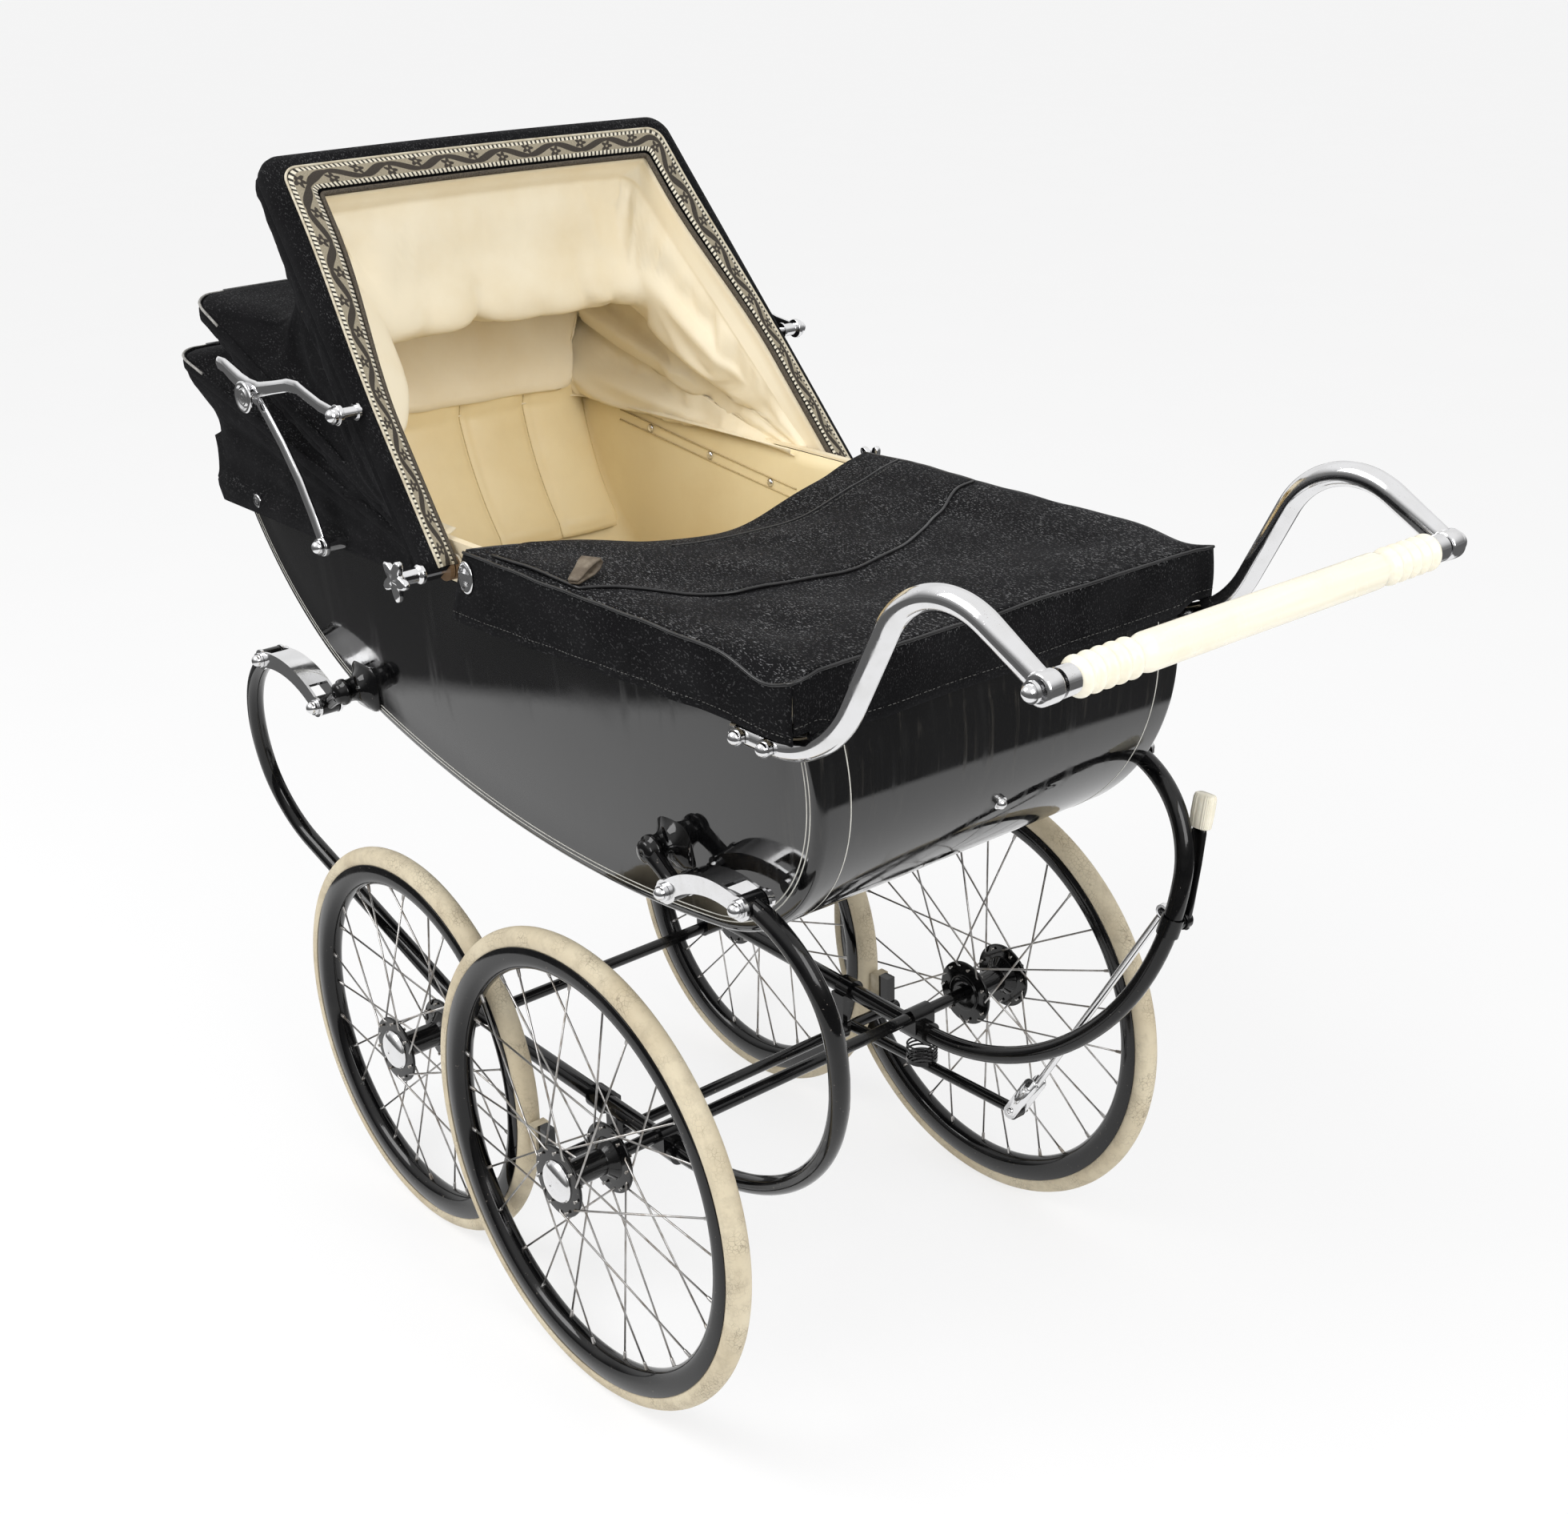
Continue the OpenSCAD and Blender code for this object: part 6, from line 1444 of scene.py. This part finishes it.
def apron_end():
    """Rows of the skirt across the handle end."""
    rows = []
    for i, y in enumerate(evenly(-SKIRT_Y, SKIRT_Y, 60)):
        low_z = SKIRT_FOOT + 8.5 * smooth((abs(y) - 215.0) / 20.0)
        line = []
        for v in evenly(0.0, 1.0, 8):
            bow = 2.2 * math.sin(math.pi * v) + 4.0 * uneven(i * 0.12, v * 1.5, 9.0) * (1.2 - v)
            line.append((APRON_END + bow * 0.6, y, mixed(low_z, APRON_EDGE - corner_dip(APRON_END, y), v)))
        rows.append(line)
    return rows


def flap_reach():
    """Across the apron: where the folded flap starts and ends, as shares of the apron's length."""
    reaches = []
    for i, y in enumerate(evenly(-0.972, 0.972, 56)):
        start = mixed(0.075, 0.0, smooth(i / 6))
        reach = mixed(mixed(0.37, 0.515, smooth(i / 13)), 0.345, smooth((i - 28) / 28))
        reaches.append((y, start, reach + 0.012 * uneven(i * 0.17, 5.0, 0.0)))
    return reaches


def skirt_edge(k):
    """The seam between the apron's top and one side skirt."""
    y = k * SKIRT_Y
    edge = []
    for i, x in enumerate(evenly(APRON_FRONT, APRON_END, 72)):
        edge.append((x, y + k * 0.8, APRON_EDGE + 1.6 * uneven(i * 0.13, 3.0 * k, 0.0) - corner_dip(x, y)))
    return edge


def stitched(made, path, step=5.4):
    """Adds a row of stitches along a path."""
    path = [Vector(p) for p in path]
    run = 0.0
    for a, b in zip(path, path[1:]):
        span = (b - a).length
        while run < span:
            p = a + (b - a) * (run / span)
            q = a + (b - a) * min(1.0, (run + step * 0.62) / span)
            made.take(*tube([p, q], 0.35, 4))
            run += step
        run -= span


def apron():
    """The storm apron: a slack top, side and end skirts, piped seams, a folded flap and a leather tab."""
    rows, end = apron_top(), apron_end()
    made = Parts().take(*thick_sheet(rows, 2.0)).take(*thick_sheet(end, 2.0))
    piece = made.piece("apron_visual", APRON_CLOTH, "pram_body", "black_cloth", "apron")

    end_edge = []
    for i, y in enumerate(evenly(-SKIRT_Y, SKIRT_Y, 40)):
        wave = 1.6 * uneven(i * 0.2, 8.0, 0.0)
        end_edge.append((APRON_END + 0.8, y, APRON_EDGE + wave - corner_dip(APRON_END, y)))
    seam = Parts().take(*tube(skirt_edge(-1) + end_edge[1:-1] + skirt_edge(1)[::-1], 1.66, 10))
    seam.take(*tube([apron_at(0.0, y, 1.0) for y in evenly(-0.992, 0.992, 60)], 1.15, 10))

    reaches = flap_reach()
    flap = []
    for y, start, reach in reaches:
        line = []
        for v in evenly(0.0, 1.0, 18):
            lift = 2.3 + 2.2 * math.sin(math.pi * v) ** 2 + 2.4 * abs(uneven(y * 3, v * 4, 2.0)) * v
            line.append(apron_at(mixed(start, reach, v), y, lift))
        flap.append(line)
    fold = single(thick_sheet(flap, 2.0), "apron_flap", APRON_CLOTH, "pram_body", "black_cloth")
    around = flap[0] + [line[-1] for line in flap[1:-1]] + flap[-1][::-1]
    seam.take(*tube([p + Vector((0, 0, 0.6)) for p in around], 1.6, 10))
    across = [y for y, start, reach in reaches[18:]]
    seam.take(*tube([apron_at(0.115, y, 5.2) for y in across], 1.08, 10))
    seam.piece("apron_piping", PIPING, "pram_body", "black_cloth")

    hems = Parts()
    line = [mixed(Vector(row[1]), Vector(row[2]), 0.3) for row in rows]
    for k in (-1, 1):
        stitched(hems, [(p.x, k * (abs(p.y) + 1.3), p.z) for p in line])
    stitched(hems, [mixed(Vector(p[1]), Vector(p[2]), 0.3) + Vector((1.4, 0, 0)) for p in end])
    stitched(hems, [apron_at(0.13, y, 5.6) for y in across])
    hems.piece("apron_stitches", STITCH, "pram_body", "black_cloth")

    foot, along, over = apron_at(0.355, -0.975, 6.5), Vector((-0.45, 0.89, 0)), Vector((0.89, 0.45, 0))
    loop = ((0, 0, 5), (12, 0.4, 6), (26, 1.2, 8), (36, 4, 9), (39, 9, 10), (36, 13, 10), (28, 12, 9),
            (16, 8, 7), (4, 4, 6), (-1, 2.5, 5))
    tab = []
    for s, h, w in loop:
        middle = foot + along * s + Vector((0, 0, h))
        tab.append([middle + over * w * v for v in (-1, -0.4, 0.4, 1)])
    single(thick_sheet(tab, 2.2), "apron_tab", TAB, "pram_body", "padded_bow")

    plates = Parts()
    shape = [(0.01, 0.0), (11.5, 0.0), (12.4, 1.0), (11.6, 2.4), (9.6, 2.6), (7.4, 1.5), (0.01, 1.5)]
    x, z = BUTTON_AT
    for k in (-1, 1):
        points, faces = lathe(shape, (0, 0, 0), (0, k, 0), 40)
        plates.take([(x + p.x, p.y + k * (SKIRT_Y + 2.6), z + p.z * 1.35) for p in points], faces)
    plates.piece("apron_eyelets", CHROME, "pram_body", "chrome")


apron()


# Inside

def back_pad():
    """The channelled back pad; gives its rows and the places of its seams."""
    low, high = (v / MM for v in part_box("back_pad"))
    channels, cells = 5, 14
    last = channels * cells
    r = HOOD_R - INSIDE - 0.6
    rows = []
    for s in evenly(0.0, 1.0, 36):
        z = mixed(low.z, high.z + 4.0, s)
        wall_x = HOOD_C[0] - math.sqrt(r * r - (min(z, RIM_Z) - HOOD_C[1]) ** 2)
        lean = max(0.0, z - RIM_Z) * 0.25
        half = side_at(min(z, RIM_Z), INSIDE) - 1.2
        edge = min(1.0, math.sin(math.pi * min(0.999, s + 0.02)) * 4) if s > 0.5 else min(1.0, s * 12)
        row = []
        for j, y in enumerate(evenly(-half, half, last)):
            swell = 10 + 13 * abs(math.sin(math.pi * j / cells)) ** 0.42
            ends = smooth(min(j, last - j) / 9)
            row.append((wall_x + 4 + lean + swell * mixed(0.25, 1.0, edge) * mixed(0.8, 1.0, ends), y, z))
        rows.append(row)
    closed = rows + [[(x - 9, y, z + 1.0) for x, y, z in rows[-1]]]
    pad = single(thick_sheet(closed, 3.0), "back_pad_visual", LINING, "pram_body", "cushion", "back_pad")
    return rows, range(cells, last, cells)


def side_seams():
    """The lining, its seams along the back pad's channels and the sides, and its studs."""
    wall = tub_points(INSIDE, 22.0, -3.0)
    skin("lining_visual", wall, LINING, 3.4, "lining", inside=True)
    rows, places = back_pad()
    seams, studs = Parts(), Parts()
    for n in places:
        seams.take(*tube([(row[n][0] + 1.6, row[n][1], row[n][2]) for row in rows], 1.3, 8))
    x0, x1, z0, z1 = -392.0, -60.0, 842.0, 806.0
    dome = [(0.01, 3.4), (2.6, 3.0), (4.6, 1.6), (5.2, 0.2), (0.01, 0.0)]
    for k in (-1, 1):
        for drop in (0.0, 12.0):
            line = between((x0, z0 - drop), (x1, z1 - drop), 30)
            seams.take(*tube([(x, k * (side_at(z, INSIDE) - 2.2), z) for x, z in line], 0.9, 8))
        for x in (-330.0, -215.0, -105.0):
            z = mixed(z0, z1, (x - x0) / (x1 - x0)) - 6.0
            studs.take(*lathe(dome, (x, k * (side_at(z, INSIDE) - 1.8), z), (0, -k, 0), 24))
    seams.piece("lining_seams", SEAM, "pram_body", "cream_leathercloth")
    studs.piece("lining_studs", CHROME, "pram_body", "chrome")


def mattress():
    """The mattress: a crowned pad, a little uneven on top."""
    low, high = (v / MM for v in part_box("mattress"))
    across, along = 40, 60
    mid_z = mixed(low.z, high.z, 0.45)
    top, under = [], []
    for a in evenly(-1.0, 1.0, along):
        for b in evenly(-1.0, 1.0, across):
            pull = 1 - 0.02 * (1 - abs(b)) if abs(a) > 0.99 else 1.0
            crown = (1 - abs(a) ** 6) ** 0.45 * (1 - abs(b) ** 6) ** 0.45
            x = mixed(low.x, high.x, (a * pull + 1) / 2) - MID_X / MM
            y = high.y * b
            dimple = uneven(x * 0.012, y * 0.012, 2.0) * 3.0
            top.append((x, y, mid_z + (high.z - mid_z - 3.0 + dimple) * crown))
            under.append((x, y, mid_z + (low.z - mid_z) * min(1.0, crown * 1.25)))
    rows, cols = along + 1, across + 1
    n = rows * cols
    faces = grid_faces(rows, cols) + [tuple(reversed(f)) for f in grid_faces(rows, cols, start=n)]
    rim = list(range(cols)) + [i * cols + across for i in range(1, rows)]
    rim += [along * cols + j for j in range(across - 1, -1, -1)]
    rim += [i * cols for i in range(along - 1, 0, -1)]
    faces += [(a, b, n + b, n + a) for a, b in zip(rim, rim[1:] + rim[:1])]
    bed = outward(add_mesh("mattress_visual", top + under, faces, LINING, "pram_body"))
    dress(bed, "mattress")


side_seams()
mattress()


# Light, floor and camera

def ramp(tree, value, low, high, to_low, to_high):
    inputs = {"Value": value, "From Min": low, "From Max": high, "To Min": to_low, "To Max": to_high}
    return put(tree, "ShaderNodeMapRange", inputs, interpolation_type="SMOOTHSTEP").outputs["Result"]


def arith(tree, kind, a, b):
    return put(tree, "ShaderNodeMath", {0: a, 1: b}, operation=kind).outputs[0]


def choose(tree, share, a, b):
    return put(tree, "ShaderNodeMix", {0: share, 2: a, 3: b}).outputs[0]


def room():
    """A plain light all round; glossy surfaces see a dark room with a bright ceiling and a pale sweep."""
    data = bpy.data.worlds.new("studio")
    bpy.context.scene.world = data
    data.use_nodes = True
    tree = data.node_tree
    back = tree.nodes["Background"]
    path = put(tree, "ShaderNodeLightPath").outputs
    ray = put(tree, "ShaderNodeTexCoord").outputs["Generated"]
    ray = put(tree, "ShaderNodeSeparateXYZ", {"Vector": ray}).outputs
    ceiling = ramp(tree, ray["Z"], 0.0, 0.66, 0.12, 1.0)
    behind = (arith(tree, "MULTIPLY", ray[axis], share) for axis, share in (("X", -0.76), ("Y", 0.64)))
    sweep = ramp(tree, arith(tree, "ADD", *behind), 0.15, 0.6, 0.0, 0.9)
    seen = arith(tree, "MAXIMUM", arith(tree, "MAXIMUM", ceiling, sweep), 0.2)
    soft = choose(tree, path["Is Glossy Ray"], 0.72, seen)
    tree.links.new(choose(tree, path["Is Camera Ray"], soft, 1.0), back.inputs["Strength"])
    back.inputs["Color"].default_value = (1.0, 1.0, 1.0, 1.0)


def floor():
    """A white floor, lit evenly to the camera and fading out in reflections."""
    look = Look("studio_floor", (0.92, 0.92, 0.925), 0.8, Specular_IOR_Level=0.1)
    grain = look.span(look.noise(3.0, 3.0), 0.3, 0.7)
    look.set("Base Color", look.blend(grain, (0.91, 0.91, 0.915), (0.93, 0.93, 0.935)))
    tree = look.tree
    path = put(tree, "ShaderNodeLightPath").outputs
    middle = tuple(world((-60, 60, 0)))
    spot = put(tree, "ShaderNodeVectorMath", {0: look.where, 1: middle}, operation="DISTANCE")
    lit = ramp(tree, spot.outputs["Value"], 1.5, 1.64, 1.0, 0.13)
    level = choose(tree, path["Is Camera Ray"], lit, 1.0)
    seen = look.most(look.times(path["Is Camera Ray"], 0.72), path["Is Glossy Ray"])
    glow = put(tree, "ShaderNodeEmission", {"Color": (1, 1, 1, 1), "Strength": level}).outputs[0]
    both = put(tree, "ShaderNodeMixShader", {0: seen, 1: look.shader.outputs[0], 2: glow}).outputs[0]
    tree.links.new(both, tree.nodes["Material Output"].inputs["Surface"])
    reach, below = 40000.0, -0.4
    corners = [(reach * a, reach * b, below) for a, b in ((-1, -1), (1, -1), (1, 1), (-1, 1))]
    add_mesh("floor", corners, [(0, 1, 2, 3)], look.material)


def lamps():
    """Two soft square lamps: a key from the near side and a fill from the handle end."""
    for name, spot, aim, size, watts in (("key", (-900, -2200, 3200), (0, 0, 600), 2000, 70.0),
                                         ("fill", (2500, -350, 2000), (-250, 0, 800), 1600, 36.0)):
        lamp = bpy.data.lights.new(name, "AREA")
        lamp.shape = "SQUARE"
        lamp.size = size * MM
        lamp.energy = watts
        holder = bpy.data.objects.new(name, lamp)
        bpy.context.scene.collection.objects.link(holder)
        holder.location = world(spot)
        holder.rotation_mode = "QUATERNION"
        holder.rotation_quaternion = (world(aim) - world(spot)).to_track_quat("-Z", "Y")


def camera():
    """The photograph's view: place and angles as fitted to the wheels and the body."""
    data = bpy.data.cameras.new("camera")
    data.sensor_width = 36.0
    data.lens = 49.12
    eye = bpy.data.objects.new("camera", data)
    bpy.context.scene.collection.objects.link(eye)
    azimuth, elevation, roll = (math.radians(a) for a in (49.874, 22.369, -1.321))
    level = Vector((math.cos(azimuth), math.sin(azimuth), 0))
    away = Vector((math.sin(azimuth), -math.cos(azimuth), 0))
    back = away * math.cos(elevation) + Vector((0, 0, math.sin(elevation)))
    upright = back.cross(level)
    right = level * math.cos(roll) + upright * math.sin(roll)
    up = upright * math.cos(roll) - level * math.sin(roll)
    eye.matrix_world = Matrix((right, up, back)).transposed().to_4x4()
    eye.location = world((1714.0, -1298.0, 1443.0))
    bpy.context.scene.camera = eye


room()
floor()
lamps()
camera()
bpy.context.scene.view_settings.view_transform = "Standard"
